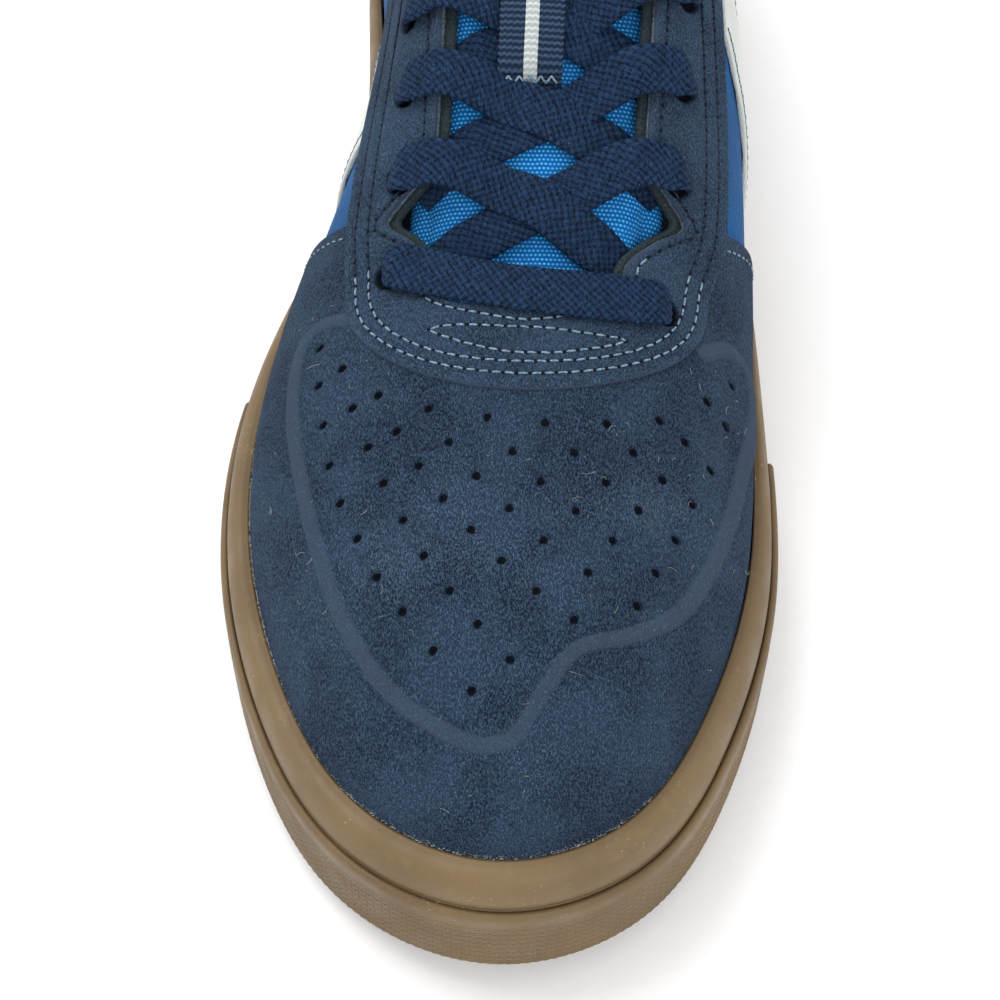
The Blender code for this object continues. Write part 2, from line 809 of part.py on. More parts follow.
def deck_height(along):
    """Height of the tongue's middle under the laces."""
    return facing_height(np.maximum(along, RIDGE_FRONT)) - TONGUE_DROP


def tongue_top(along, x):
    """Height of the tongue's top face at a distance x from the ridge line."""
    edge = 0.5 * THROAT_WIDTH
    drop = 0.30 * MM * (x / MM / 10) ** 2 + 0.55 * np.clip(np.abs(x) - edge, 0, None)
    front = (RIDGE_FRONT - np.minimum(along, RIDGE_FRONT)) * LENGTH
    return deck_height(along) - drop - 0.22 * front


def under_facing(along, x):
    """Height of the upper's inner face, less a clearance."""
    q, gap = rib_through(ridge_x(along) + x, (along - 0.5) * LENGTH)
    here = bare_shell(q, turn_at_gap(q, gap))
    there = shell(q, turn_at_gap(q, gap), MM)
    slope = max((there[2] - here[2]) / MM, 0.3)
    return here[2] - (WALL + 4 * CLEARANCE) / slope


def make_tongue():
    count, rows = 7, 16
    along = np.linspace(TONGUE["along"][0], TONGUE["along"][-1], rows)
    a = np.linspace(-1, 1, count)
    top = np.zeros((rows, count, 3))
    for r, here in enumerate(along):
        rise = float(read(TONGUE, "rise", here)) * TONGUE_RISE
        for c, out in enumerate(a * read(TONGUE, "half_width", here) * EYESTAY_WIDTH):
            height = float(tongue_top(here, out))
            tucked = abs(out) > 0.5 * THROAT_WIDTH - WALL and here < FACING_END + 0.01
            if tucked or here < RIDGE_FRONT:
                height = min(height, under_facing(here, out))
            top[r, c] = (ridge_x(here) + out, (here - 0.5) * LENGTH, height + rise)
    run = np.gradient(top[:, count // 2, 1:], axis=0)
    run /= np.linalg.norm(run, axis=1, keepdims=True)
    thick = TONGUE_THICK * (1 - 0.55 * np.abs(a) ** 3)[None, :]
    low = top.copy()
    low[..., 1] += run[:, 1][:, None] * thick
    low[..., 2] -= run[:, 0][:, None] * thick
    return add_sheet("tongue", low, top, "textile")


def band_sections(path, ups, width, thick):
    """Flat rounded sections along a path; ups are the directions off the flat side."""
    run = np.gradient(path, axis=0)
    run /= np.linalg.norm(run, axis=1, keepdims=True)
    across = np.cross(run, ups)
    across /= np.linalg.norm(across, axis=1, keepdims=True)
    up = np.cross(across, run)
    half = width / 2
    rows = []
    for side, level in ((-0.8, 0), (0.8, 0), (1, 0.5), (0.8, 1), (-0.8, 1), (-1, 0.5)):
        rows.append(path + across * side * half + up * level * thick)
    return np.stack(rows, 1)


def facing_top(along, x):
    """Height of the eyestay's top at a distance x from the ridge line."""
    y = (along - 0.5) * LENGTH
    q, gap = rib_through(ridge_x(along) + x, y)
    turn = turn_at_gap(q, gap)
    here = bare_shell(q, turn)
    there = shell(q, turn, MM)
    slope = max((there[2] - here[2]) / MM, 0.3)
    return here[2] + (CLEARANCE + EYESTAY_THICK) / slope


def deck_up(along):
    """Direction off the instep over the throat."""
    step = 0.02
    rise = facing_height(along + step) - facing_height(along - step)
    run = 2 * step * LENGTH
    size = math.hypot(rise, run)
    return np.array([0, -rise / size, run / size])


def make_lace_bar():
    """First row: one straight run over both facings."""
    row = EYELET_ROWS[0]
    reach = EYELET_OUT + EYELET_MARGIN
    x = np.linspace(-reach, reach, 13)
    half = LACE_WIDTH / 2 / LENGTH
    path = []
    for out in x:
        beside = np.sign(out + 1e-6) * max(abs(out), THROAT_FRONT)
        seats = [facing_top(row + shift * half, beside) for shift in (-1, 0, 1)]
        ridge = max(seats[1], (seats[0] + seats[2]) / 2)
        path.append((ridge_x(row) + out, (row - 0.5) * LENGTH, ridge + 3 * CLEARANCE))
    path = np.array(path)
    path[1:-1, 2] = (path[:-2, 2] + path[1:-1, 2] + path[2:, 2]) / 3 + CLEARANCE
    tilt = (facing_top(row + half, EYELET_OUT) - facing_top(row - half, EYELET_OUT)) / LACE_WIDTH
    ups = np.tile((0.0, -tilt, 1.0), (len(x), 1))
    return add_rod("lace_bar_1", band_sections(path, ups, LACE_WIDTH, LACE_THICK), "lace")


def strand(row, side, layer):
    """Half of a crossing: from under one facing to the eyelet in the other."""
    start, end = EYELET_ROWS[row], EYELET_ROWS[row + 1]
    edge = 0.5 * THROAT_WIDTH
    half = LACE_WIDTH / 2 / LENGTH
    path = []
    ups = []
    for out in np.linspace(LACE_TUCK - edge, EYELET_OUT, 9):
        share = (out + EYELET_OUT) / (2 * EYELET_OUT)
        here = start + (end - start) * share
        floor = tongue_top(here, side * out) + 2.5 * CLEARANCE
        beside = side * max(out, edge)
        seats = [facing_top(here + shift * half, beside) for shift in (-1, 0, 1)]
        over = max(seats[1], (seats[0] + seats[2]) / 2) + 3 * CLEARANCE
        up = float(smooth_step(0.30 * edge, 0.88 * edge, out))
        hump = layer * (LACE_THICK - 0.2 * MM) * math.exp(-(((share - 0.5) / 0.16) ** 2))
        y = (here - 0.5) * LENGTH
        path.append((ridge_x(here) + side * out, y, floor + (over - floor) * up + hump))
        deck = deck_up(here)
        slope = -deck[1] / deck[2] * (1 - up) + (seats[2] - seats[0]) / LACE_WIDTH * up
        ups.append((0.0, -slope, 1.0))
    sections = band_sections(np.array(path), np.array(ups), LACE_WIDTH, LACE_THICK)
    return add_rod(f"strand_{row}_{side}", sections, "lace")


def make_lace_crossings():
    for row in range(len(EYELET_ROWS) - 1):
        under = strand(row, +1, 0)
        over = strand(row, -1, 1)
        under.name = f"lace_crossing_{row + 1}"
        under.data.name = under.name
        join = under.modifiers.new("crossing", "BOOLEAN")
        join.operation = "UNION"
        join.object = over
        over.hide_render = True
        over.display_type = "WIRE"


KEEPER = table(
    "along lift",
    (0.4895, 0.0),
    (0.4900, 0.6),
    (0.4925, 1.0),
    (0.5130, 1.15),
    (0.5335, 1.0),
    (0.5360, 0.6),
    (0.5365, 0.0),
)
KEEPER_LIFT = 4.2 * MM


def make_keeper():
    """Webbing loop on the tongue that holds one crossing."""
    along = KEEPER["along"]
    rise = KEEPER["lift"] * KEEPER_LIFT + 2 * CLEARANCE
    height = tongue_top(along, 0 * along) + rise
    path = np.column_stack([ridge_x(along), (along - 0.5) * LENGTH, height])
    ups = np.cross((1.0, 0.0, 0.0), np.gradient(path, axis=0))
    sections = band_sections(path, ups, KEEPER_WIDTH, KEEPER_THICK)
    return add_rod("lace_keeper", sections, "webbing")


def main():
    for item in list(bpy.data.objects):
        bpy.data.objects.remove(item, do_unlink=True)
    make_outsole()
    make_midsole()
    make_foxing()
    make_toe_strip()
    make_insole()
    make_upper()
    make_vamp()
    make_eyestay()
    make_counter()
    make_bands()
    make_tongue()
    make_lace_bar()
    make_lace_crossings()
    make_keeper()


main()
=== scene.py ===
import math
import random

import bpy
import numpy as np
from mathutils import Matrix, Vector
from mathutils.kdtree import KDTree


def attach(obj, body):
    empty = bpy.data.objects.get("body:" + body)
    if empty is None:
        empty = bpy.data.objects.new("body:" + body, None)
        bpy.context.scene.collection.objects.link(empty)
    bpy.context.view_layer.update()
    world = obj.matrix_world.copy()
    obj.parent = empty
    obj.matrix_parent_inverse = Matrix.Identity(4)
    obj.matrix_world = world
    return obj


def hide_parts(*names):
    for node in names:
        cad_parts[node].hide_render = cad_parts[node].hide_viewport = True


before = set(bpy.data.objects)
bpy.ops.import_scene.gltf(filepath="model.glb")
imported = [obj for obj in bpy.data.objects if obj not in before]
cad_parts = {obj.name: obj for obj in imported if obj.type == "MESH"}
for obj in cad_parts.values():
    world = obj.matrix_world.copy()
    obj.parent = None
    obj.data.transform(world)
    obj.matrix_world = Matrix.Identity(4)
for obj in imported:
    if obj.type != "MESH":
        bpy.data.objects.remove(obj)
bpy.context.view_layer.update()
body = "root"
mm = 0.001
random.seed(7)
noiseRows = np.random.RandomState(7)
print("frame loaded")


# Shape of the shoe: the same driving sizes and tables as the solids

def table(columns, *rows):
    return dict(zip(columns.split(), np.array(rows, float).T))


shoe = {
    "length": 296 * mm,
    "ballWidth": 109 * mm,
    "instepHeight": 98 * mm,
    "heelHeight": 78 * mm,
    "rimHeight": 28 * mm,
    "toeSpring": 8 * mm,
    "archLift": 1.6 * mm,
    "outsoleThick": 6 * mm,
    "midsoleTop": 14 * mm,
    "insoleThick": 4 * mm,
    "foxingThick": 4.9 * mm,
    "grooveHeight": 21.4 * mm,
    "gap": 0.3 * mm,
    "wall": 2 * mm,
    "collarPad": 5 * mm,
    "collarPadDepth": 34 * mm,
    "throatWidth": 38 * mm,
    "throatFront": 7 * mm,
    "vampSag": 6.5 * mm,
    "sideSwell": 6.5 * mm,
    "heelSwell": 3.2 * mm,
    "eyestayFront": 24.5 * mm,
    "eyestayWidth": 33 * mm,
    "eyestayShare": 0.95,
    "counterShare": 0.64,
    "counterLine": (0.494, 0.674),
    "lineLift": 0.5,
    "facingEnd": 0.654,
    "ridgeFront": 0.375,
    "ridgeBack": 0.860,
    "springEnd": 0.300,
}
length = shoe["length"]
gap = shoe["gap"]

outline = table(
    "along across",
    (0.000, 0.007),
    (0.034, 0.243),
    (0.108, 0.374),
    (0.222, 0.470),
    (0.358, 0.486),
    (0.470, 0.478),
    (0.580, 0.456),
    (0.720, 0.440),
    (0.850, 0.440),
    (0.950, 0.340),
    (1.000, 0.085),
    (0.950, -0.175),
    (0.850, -0.272),
    (0.700, -0.270),
    (0.570, -0.292),
    (0.470, -0.382),
    (0.365, -0.462),
    (0.245, -0.470),
    (0.127, -0.386),
    (0.042, -0.245),
)
ridge = table(
    "along height across",
    (0.375, 0.645, 0.066),
    (0.420, 0.735, 0.083),
    (0.485, 0.865, 0.097),
    (0.550, 1.000, 0.105),
    (0.600, 1.090, 0.106),
    (0.700, 1.190, 0.100),
    (0.860, 1.235, 0.090),
)
fullness = table(
    "along power lateral medial heel",
    (0.00, 2.50, 0.00, 0.00, 0.30),
    (0.20, 2.35, 0.10, 0.05, 0.30),
    (0.38, 2.20, 0.55, 0.10, 0.30),
    (0.50, 2.15, 1.00, 0.10, 0.30),
    (0.60, 2.15, 1.15, 0.10, 0.40),
    (0.72, 2.20, 0.60, 0.10, 0.60),
    (0.85, 2.35, 0.00, 0.00, 1.00),
    (1.00, 2.40, 0.00, 0.00, 1.00),
)
topline = table(
    "along height",
    (0.615, 1.370),
    (0.645, 1.310),
    (0.678, 1.130),
    (0.714, 0.950),
    (0.752, 0.845),
    (0.808, 0.785),
    (0.880, 0.840),
    (0.950, 0.950),
    (1.000, 1.000),
)
throatEdge = table(
    "along halfGap",
    (0.375, 0.450),
    (0.388, 0.480),
    (0.401, 0.580),
    (0.414, 0.700),
    (0.425, 0.620),
    (0.438, 0.510),
    (0.480, 0.490),
    (0.560, 0.500),
    (0.640, 0.560),
)
eyestayEdge = table(
    "along out",
    (0.375, 1.000),
    (0.420, 1.050),
    (0.530, 0.970),
    (0.600, 0.900),
    (0.640, 0.860),
)


def unit(vectors):
    return vectors / np.linalg.norm(vectors, axis=-1, keepdims=True)


def readTable(source, column, at):
    x = source["along"]
    y = source[column]
    slope = np.zeros(len(x))
    slope[1:-1] = (y[2:] - y[:-2]) / (x[2:] - x[:-2])
    at = np.clip(np.asarray(at, float), x[0], x[-1])
    k = np.clip(np.searchsorted(x, at, side="right") - 1, 0, len(x) - 2)
    step = x[k + 1] - x[k]
    t = (at - x[k]) / step
    return (
        y[k] * (1 + 2 * t) * (1 - t) ** 2
        + y[k + 1] * t**2 * (3 - 2 * t)
        + slope[k] * step * t * (1 - t) ** 2
        - slope[k + 1] * step * t**2 * (1 - t)
    )


def smoothStep(low, high, value):
    t = np.clip((value - low) / (high - low), 0, 1)
    return t * t * (3 - 2 * t)


def closedCurve(points, count):  # periodic cubic spline by chord length
    total = len(points)
    steps = np.linalg.norm(np.roll(points, -1, 0) - points, axis=1)
    before = np.roll(steps, 1)
    matrix = np.zeros((total, total))
    right = np.zeros((total, 2))
    for i in range(total):
        matrix[i, i - 1] += before[i]
        matrix[i, i] += 2 * (before[i] + steps[i])
        matrix[i, (i + 1) % total] += steps[i]
        ahead = (points[(i + 1) % total] - points[i]) / steps[i]
        right[i] = 6 * (ahead - (points[i] - points[i - 1]) / before[i])
    bend = np.linalg.solve(matrix, right)
    starts = np.concatenate([[0], np.cumsum(steps)])
    wanted = np.linspace(0, starts[-1], count, endpoint=False)
    k = np.clip(np.searchsorted(starts, wanted, side="right") - 1, 0, total - 1)
    after = (k + 1) % total
    h = steps[k][:, None]
    u = (wanted - starts[k])[:, None] / h
    cubic = ((1 - u) ** 3 - (1 - u)) * bend[k] + (u**3 - u) * bend[after]
    return points[k] * (1 - u) + points[after] * u + h**2 / 6 * cubic


dense = 1440
loop = closedCurve(
    np.column_stack([outline["across"] * shoe["ballWidth"], (outline["along"] - 0.5) * length]),
    dense,
)
loop -= (loop.max(0) + loop.min(0)) / 2
spineShift = (
    loop[dense // 2, 0] - readTable(ridge, "across", shoe["ridgeBack"]) * shoe["ballWidth"]
)


def loopAt(q):
    place = np.asarray(q, float) % 1 * dense
    k = place.astype(int) % dense
    f = (place - np.floor(place))[..., None]
    ahead = (k + 1) % dense
    point = loop[k] * (1 - f) + loop[ahead] * f
    tangent = unit((loop[ahead] - loop[k - 1]) * (1 - f) + (loop[(k + 2) % dense] - loop[k]) * f)
    return point, np.stack([tangent[..., 1], -tangent[..., 0]], -1)


def alongOf(y):
    return y / length + 0.5


def spring(y):
    t = np.clip((shoe["springEnd"] - alongOf(y)) / shoe["springEnd"], 0, None)
    return shoe["toeSpring"] * t * t


def arch(y):
    s = alongOf(y)
    return shoe["archLift"] * smoothStep(0.46, 0.54, s) * (1 - smoothStep(0.62, 0.70, s))


def insetPoint(q, inset, height):
    point, normal = loopAt(q)
    flat = point - normal * np.asarray(inset)[..., None]
    return np.concatenate([flat, (spring(point[..., 1]) + height)[..., None]], -1)


upperInset = shoe["foxingThick"] + gap
upperFoot = shoe["midsoleTop"] + gap


def alongRib(q):
    return alongOf(insetPoint(q, upperInset, upperFoot)[..., 1])


def ribs(q):
    foot = insetPoint(q, upperInset, upperFoot)
    s = alongOf(foot[..., 1])
    soft = 0.012
    low = shoe["ridgeFront"] + soft * np.logaddexp(0, (s - shoe["ridgeFront"]) / soft)
    share = shoe["ridgeBack"] - soft * np.logaddexp(0, (shoe["ridgeBack"] - low) / soft)
    share = np.maximum(share, shoe["ridgeFront"])
    head = np.stack(
        [
            readTable(ridge, "across", share) * shoe["ballWidth"] + spineShift,
            (share - 0.5) * length,
            readTable(ridge, "height", share) * shoe["instepHeight"],
        ],
        -1,
    )
    reach = np.linalg.norm(head[..., :2] - foot[..., :2], axis=-1)
    return foot, head, reach, head[..., 2] - foot[..., 2], s


def turnAtHeight(q, height):
    foot, head, reach, rise, s = ribs(q)
    z = np.clip((height + spring(foot[..., 1]) - foot[..., 2]) / rise, 0, 1)
    return np.arcsin(z ** (readTable(fullness, "power", s) / 2))


def gapLeft(parts, turn):
    foot, head, reach, rise, s = parts
    power = readTable(fullness, "power", s)
    lateral = readTable(fullness, "lateral", s)
    side = np.where(foot[..., 0] > head[..., 0], lateral, readTable(fullness, "medial", s))
    band = np.clip(np.sin(turn) ** (2 / power) / 0.62, 0, 1)
    swell = side * shoe["sideSwell"] * np.sin(2 * turn)
    swell = swell + readTable(fullness, "heel", s) * shoe["heelSwell"] * 4 * band * (1 - band)
    return reach * np.abs(np.cos(turn)) ** (2 / power) + swell


def turnAtGap(q, wanted):
    parts = ribs(q)
    low = np.zeros(np.shape(q)) + 0.25
    high = np.zeros(np.shape(q)) + math.pi / 2
    for _ in range(24):
        middle = (low + high) / 2
        wide = gapLeft(parts, middle) > wanted
        low = np.where(wide, middle, low)
        high = np.where(wide, high, middle)
    return (low + high) / 2


def bareShell(q, turn):
    parts = ribs(q)
    foot, head, reach, rise, s = parts
    level = (foot[..., :2] - head[..., :2]) / reach[..., None]
    flat = head[..., :2] + level * gapLeft(parts, turn)[..., None]
    ahead = np.clip(alongOf(flat[..., 1]) / shoe["ridgeFront"], 0, 1)
    up = rise * np.sin(turn) ** (2 / readTable(fullness, "power", s))
    up = up - shoe["vampSag"] * np.sin(math.pi * ahead) * np.sin(turn)
    return np.concatenate([flat, (foot[..., 2] + up)[..., None]], -1)


def shellNormal(q, turn):
    turnA = np.clip(turn - 0.01, 0.002, None)
    turnB = np.clip(turn + 0.01, 0.022, math.pi / 2)
    around = bareShell(q + 0.0015, turn) - bareShell(q - 0.0015, turn)
    return unit(np.cross(around, bareShell(q, turnB) - bareShell(q, turnA)))


def shell(q, turn, offset=0.0):  # a point off the upper's outer face, along its normal
    q, turn, offset = np.broadcast_arrays(*(np.asarray(v, float) for v in (q, turn, offset)))
    return bareShell(q, turn) + shellNormal(q, turn) * offset[..., None]


def roundGap(q, front, side, power):
    foot, head, reach, rise, s = ribs(q)
    across = np.abs(foot[..., 0] - head[..., 0])
    angle = np.arctan2(across, np.clip(head[..., 1] - foot[..., 1], 0, None))
    ahead = (np.abs(np.cos(angle)) / front) ** power
    return (ahead + (np.abs(np.sin(angle)) / side) ** power) ** (-1 / power)


def throatGap(q):
    s = alongRib(q)
    side = readTable(throatEdge, "halfGap", s) * shoe["throatWidth"]
    return roundGap(q, shoe["throatFront"], side, 3)


def eyestayReach(q):
    foot, head, reach, rise, s = ribs(q)
    side = readTable(eyestayEdge, "out", s) * shoe["eyestayWidth"]
    return np.minimum(roundGap(q, shoe["eyestayFront"], side, 2), shoe["eyestayShare"] * reach)


def edgeTurn(q):  # the upper's open edge: throat in front, collar behind
    s = alongRib(q)
    end = shoe["facingEnd"]
    throat = turnAtGap(q, throatGap(q))
    collar = turnAtHeight(q, readTable(topline, "height", s) * shoe["heelHeight"])
    throat = throat + smoothStep(end + 0.005, end + 0.03, s) * shoe["lineLift"]
    collar = collar + (1 - smoothStep(end - 0.06, end - 0.035, s)) * shoe["lineLift"]
    soft = 0.03
    return -soft * np.logaddexp(-throat / soft, -collar / soft)


def quarterLine(q):  # the line where vamp, bands and counter stop below the eyestay
    end = edgeTurn(q)
    rim = turnAtHeight(q, shoe["rimHeight"] + gap)
    eyestay = turnAtGap(q, eyestayReach(q))
    front = 1 - smoothStep(*shoe["counterLine"], alongRib(q))
    back = rim + shoe["counterShare"] * (end - rim) + front * shoe["lineLift"]
    soft = 0.02
    return -soft * np.logaddexp(-eyestay / soft, -back / soft)


sideShares = {+1: (0.02, 0.48), -1: (0.98, 0.52)}
denseRibs = ribs(np.arange(dense) / dense)


def ribBeside(along, side):
    q = np.linspace(*sideShares[side], 600)
    return np.interp(along, alongRib(q), q)


def ribThrough(x, y):
    foot, head, reach = denseRibs[:3]
    arm = foot[:, :2] - head[:, :2]
    point = np.array([x, y]) - head[:, :2]
    miss = np.abs(arm[:, 0] * point[:, 1] - arm[:, 1] * point[:, 0]) / reach
    k = np.argmin(np.where((arm * point).sum(1) > 0, miss, 1.0))
    return k / dense, math.hypot(*point[k])


def ridgeX(along):
    return readTable(ridge, "across", along) * shoe["ballWidth"] + spineShift


def overShell(along, x, offset):  # height of a level above the shell beside the ridge line
    q, level = ribThrough(ridgeX(along) + x, (along - 0.5) * length)
    turn = turnAtGap(q, level)
    here = bareShell(q, turn)
    slope = max(shellNormal(np.array(q), turn)[2], 0.3)
    return here[2] + offset / slope


# Meshes

def gridQuads(rows, columns, wrapRows=False, wrapColumns=False, start=0):
    r = np.arange(rows if wrapRows else rows - 1)[:, None]
    c = np.arange(columns if wrapColumns else columns - 1)[None, :]
    here = start + r * columns
    there = start + (r + 1) % rows * columns
    beside = (c + 1) % columns
    corners = (here + c, here + beside, there + beside, there + c)
    return np.stack(corners, -1).reshape(-1, 4)


def signedVolume(points, faces):  # of the cones from the origin over faces with as many corners
    corners = points[np.asarray(faces)]
    turned = np.cross(corners[:, 1:-1], corners[:, 2:]).sum(1)
    return (corners[:, 0] * turned).sum()


def addMesh(name, points, quads, finishes, others=(), faceFinish=None):
    points = np.asarray(points, float)
    volume = signedVolume(points, quads) + sum(signedVolume(points, [face]) for face in others)
    if volume < 0:  # faces must look outward
        quads = quads[:, ::-1]
        others = [face[::-1] for face in others]
    loops = np.concatenate([quads.ravel(), *[np.array(face) for face in others]])
    sizes = [4] * len(quads) + [len(face) for face in others]
    starts = np.concatenate([[0], np.cumsum(sizes)[:-1]])
    mesh = bpy.data.meshes.new(name)
    mesh.vertices.add(len(points))
    mesh.vertices.foreach_set("co", points.astype(np.float32).ravel())
    mesh.loops.add(len(loops))
    mesh.loops.foreach_set("vertex_index", loops.astype(np.int32))
    mesh.polygons.add(len(sizes))
    mesh.polygons.foreach_set("loop_start", starts.astype(np.int32))
    for finish in finishes:
        mesh.materials.append(finish)
    if faceFinish is not None:
        mesh.polygons.foreach_set("material_index", np.asarray(faceFinish, np.int32))
    mesh.update(calc_edges=True)
    mesh.validate()
    mesh.shade_smooth()
    piece = bpy.data.objects.new(name, mesh)
    bpy.context.scene.collection.objects.link(piece)
    return piece


def mark(piece, name, values):  # a value for every point, read by the materials
    values = np.asarray(values, np.float32)
    vector = values.ndim == 2
    layer = piece.data.attributes.new(name, "FLOAT_VECTOR" if vector else "FLOAT", "POINT")
    layer.data.foreach_set("vector" if vector else "value", values.ravel())


def seat(piece, slot, *nodes):
    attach(piece, body)
    if nodes:
        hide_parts(*nodes)
    return piece


def keptRows(rows, skip=16):
    return list(range(0, rows - 1, skip)) + [rows - 1]


def closedSheet(name, low, top, finishes):  # fine top, coarse underside, walls between
    rows, columns = top.shape[:2]
    kept = keptRows(rows)
    start = rows * columns
    last = (rows - 1) * columns
    lastLow = start + (len(kept) - 1) * columns
    c = np.arange(columns - 1)
    walls = [
        np.stack([c + 1, c, start + c, start + c + 1], -1),
        np.stack([last + c, last + c + 1, lastLow + c + 1, lastLow + c], -1),
    ]
    quads = [gridQuads(rows, columns), gridQuads(len(kept), columns, start=start)[:, ::-1]]
    others = []
    for k in range(len(kept) - 1):
        down = [r * columns for r in range(kept[k], kept[k + 1] + 1)]
        below = start + k * columns
        others.append(down + [below + columns, below])
        edge = [r + columns - 1 for r in reversed(down)]
        others.append(edge + [below + columns - 1, below + 2 * columns - 1])
    points = np.concatenate([top.reshape(-1, 3), low[kept].reshape(-1, 3)])
    counts = [len(quads[0]), len(quads[1]), 2 * len(c) + len(others)]
    wallFinish = len(finishes) - 1
    faceFinish = [0] * (counts[0] + counts[1]) + [wallFinish] * counts[2]
    return addMesh(name, points, np.concatenate(quads + walls), finishes, others, faceFinish)


def sheetMark(piece, name, values):
    kept = keptRows(len(values))
    flat = [values.reshape(-1, *values.shape[2:]), values[kept].reshape(-1, *values.shape[2:])]
    mark(piece, name, np.concatenate(flat))


def loopCap(count, start=0):  # faces across a closed loop, from its first point to its middle one
    i = np.arange(1, count // 2 - 1)
    across = np.stack([start + i, start + i + 1, start + count - i - 1, start + count - i], -1)
    middle = start + count // 2
    return across, [[start, start + 1, start + count - 1], [middle - 1, middle, middle + 1]]


def ring(name, sections, finishes, faceFinish=None):
    quads = gridQuads(*sections.shape[:2], wrapRows=True, wrapColumns=True)
    return addMesh(name, sections.reshape(-1, 3), quads, finishes, faceFinish=faceFinish)


def rod(name, sections, finishes):
    rows, columns = sections.shape[:2]
    quads = gridQuads(rows, columns, wrapColumns=True)
    caps = [list(range(columns))[::-1], [(rows - 1) * columns + k for k in range(columns)]]
    return addMesh(name, sections.reshape(-1, 3), quads, finishes, caps)


def runLengths(points, axis=0):  # distance run along a grid's rows or columns
    steps = np.linalg.norm(np.diff(points, axis=axis), axis=-1)
    first = np.zeros_like(np.take(steps, [0], axis))
    return np.concatenate([first, np.cumsum(steps, axis)], axis)


def smoothThrough(points, count, closed=False):
    points = np.asarray(points, float)
    total = len(points)
    at = np.linspace(0, total if closed else total - 1, count, endpoint=not closed)
    k = np.minimum(at.astype(int), total - (1 if closed else 2))
    t = (at - k).reshape(-1, *[1] * (points.ndim - 1))

    def pick(i):
        return points[i % total] if closed else points[np.clip(i, 0, total - 1)]

    a, b, c, d = (pick(k + j) for j in (-1, 0, 1, 2))
    even = 2 * b + (c - a) * t + (2 * a - 5 * b + 4 * c - d) * t**2
    return 0.5 * (even + (3 * b - a - 3 * c + d) * t**3)


def respace(points, step):  # even steps; the first three columns are the place
    run = runLengths(points[:, :3])
    count = max(2, int(round(run[-1] / step)) + 1)
    wanted = np.linspace(0, run[-1], count)
    return np.stack([np.interp(wanted, run, points[:, k]) for k in range(points.shape[1])], -1)


def evenShares(first, last, turnOf, count):  # shares spaced evenly along a line on the shell
    fine = np.linspace(first, last, 4000)
    run = runLengths(bareShell(fine, turnOf(fine)))
    return np.interp(np.linspace(0, run[-1], count), run, fine)


def edgedShares(lengths, count):  # shares from 0 to 1 with fine steps at both ends
    fine = np.array([0, 0.12, 0.35])[:, None] * mm / lengths
    margin = 0.7 * mm / lengths
    middle = np.linspace(0, 1, count)[:, None] * (1 - 2 * margin) + margin
    return np.concatenate([fine, middle, 1 - fine[::-1]])


def edgeDistance(points):
    down = runLengths(points, 0)
    across = runLengths(points, 1)
    ends = [down, down[-1:] - down, across, across[:, -1:] - across]
    return np.minimum.reduce(ends)


def bell(distance, width):
    return np.exp(-((distance / width) ** 2))


def rounded(distance, radius):  # height share of a cut edge, rounded at the top
    t = 1 - np.clip(distance / radius, 0, 1)
    return 0.45 + 0.55 * np.sqrt(1 - t * t)


def nearest(points, targets):  # distance from each point to the closest target
    points, targets = (np.asarray(p) for p in (points, targets))
    shape = points.shape[:-1]
    flat = [points.reshape(-1, points.shape[-1]), targets]
    if points.shape[-1] == 2:
        flat = [np.column_stack([p, np.zeros(len(p))]) for p in flat]
    tree = KDTree(len(targets))
    for k, target in enumerate(flat[1]):
        tree.insert(target, k)
    tree.balance()
    found = [tree.find(point)[1:] for point in flat[0]]
    which, away = (np.array([f[k] for f in found]).reshape(shape) for k in (0, 1))
    return away, which


# Materials

def put(tree, kind, inputs=None, **settings):
    item = tree.nodes.new("ShaderNode" + kind)
    for key, value in settings.items():
        setattr(item, key, value)
    for key, value in (inputs or {}).items():
        if isinstance(value, bpy.types.NodeSocket):
            tree.links.new(value, item.inputs[key])
        else:
            item.inputs[key].default_value = value
    return item


def maths(tree, operation, *values):
    return put(tree, "Math", dict(enumerate(values)), operation=operation).outputs[0]


def ramp(tree, value, low, high, start=0.0, end=1.0):
    inputs = {"Value": value, "From Min": low, "From Max": high, "To Min": start, "To Max": end}
    return put(tree, "MapRange", inputs, interpolation_type="SMOOTHSTEP").outputs[0]


def mixColour(tree, share, a, b, mode="MIX"):
    a = a if isinstance(a, bpy.types.NodeSocket) else (*a, 1)
    b = b if isinstance(b, bpy.types.NodeSocket) else (*b, 1)
    inputs = {0: share, 6: a, 7: b}
    return put(tree, "Mix", inputs, data_type="RGBA", blend_type=mode).outputs[2]


def noise(tree, vector, scale, detail=2.0, roughness=0.5):
    inputs = {"Vector": vector, "Scale": scale, "Detail": detail, "Roughness": roughness}
    return put(tree, "TexNoise", inputs).outputs["Fac"]


def noiseAt(tree, vector, size, *shape):
    return noise(tree, vector, 1 / size, *shape)


def readMark(tree, name, part="Fac"):
    return put(tree, "Attribute", attribute_name=name, attribute_type="GEOMETRY").outputs[part]


def newGroup(name, inputs, outputs):
    tree = bpy.data.node_groups.new(name, "ShaderNodeTree")
    for direction, sockets in (("INPUT", inputs), ("OUTPUT", outputs)):
        for socket, kind in sockets.items():
            tree.interface.new_socket(socket, in_out=direction, socket_type="NodeSocket" + kind)
    return tree, tree.nodes.new("NodeGroupInput"), tree.nodes.new("NodeGroupOutput")


def useGroup(tree, group, inputs):
    item = tree.nodes.new("ShaderNodeGroup")
    item.node_tree = group
    for key, value in inputs.items():
        if isinstance(value, bpy.types.NodeSocket):
            tree.links.new(value, item.inputs[key])
        else:
            item.inputs[key].default_value = value
    return item


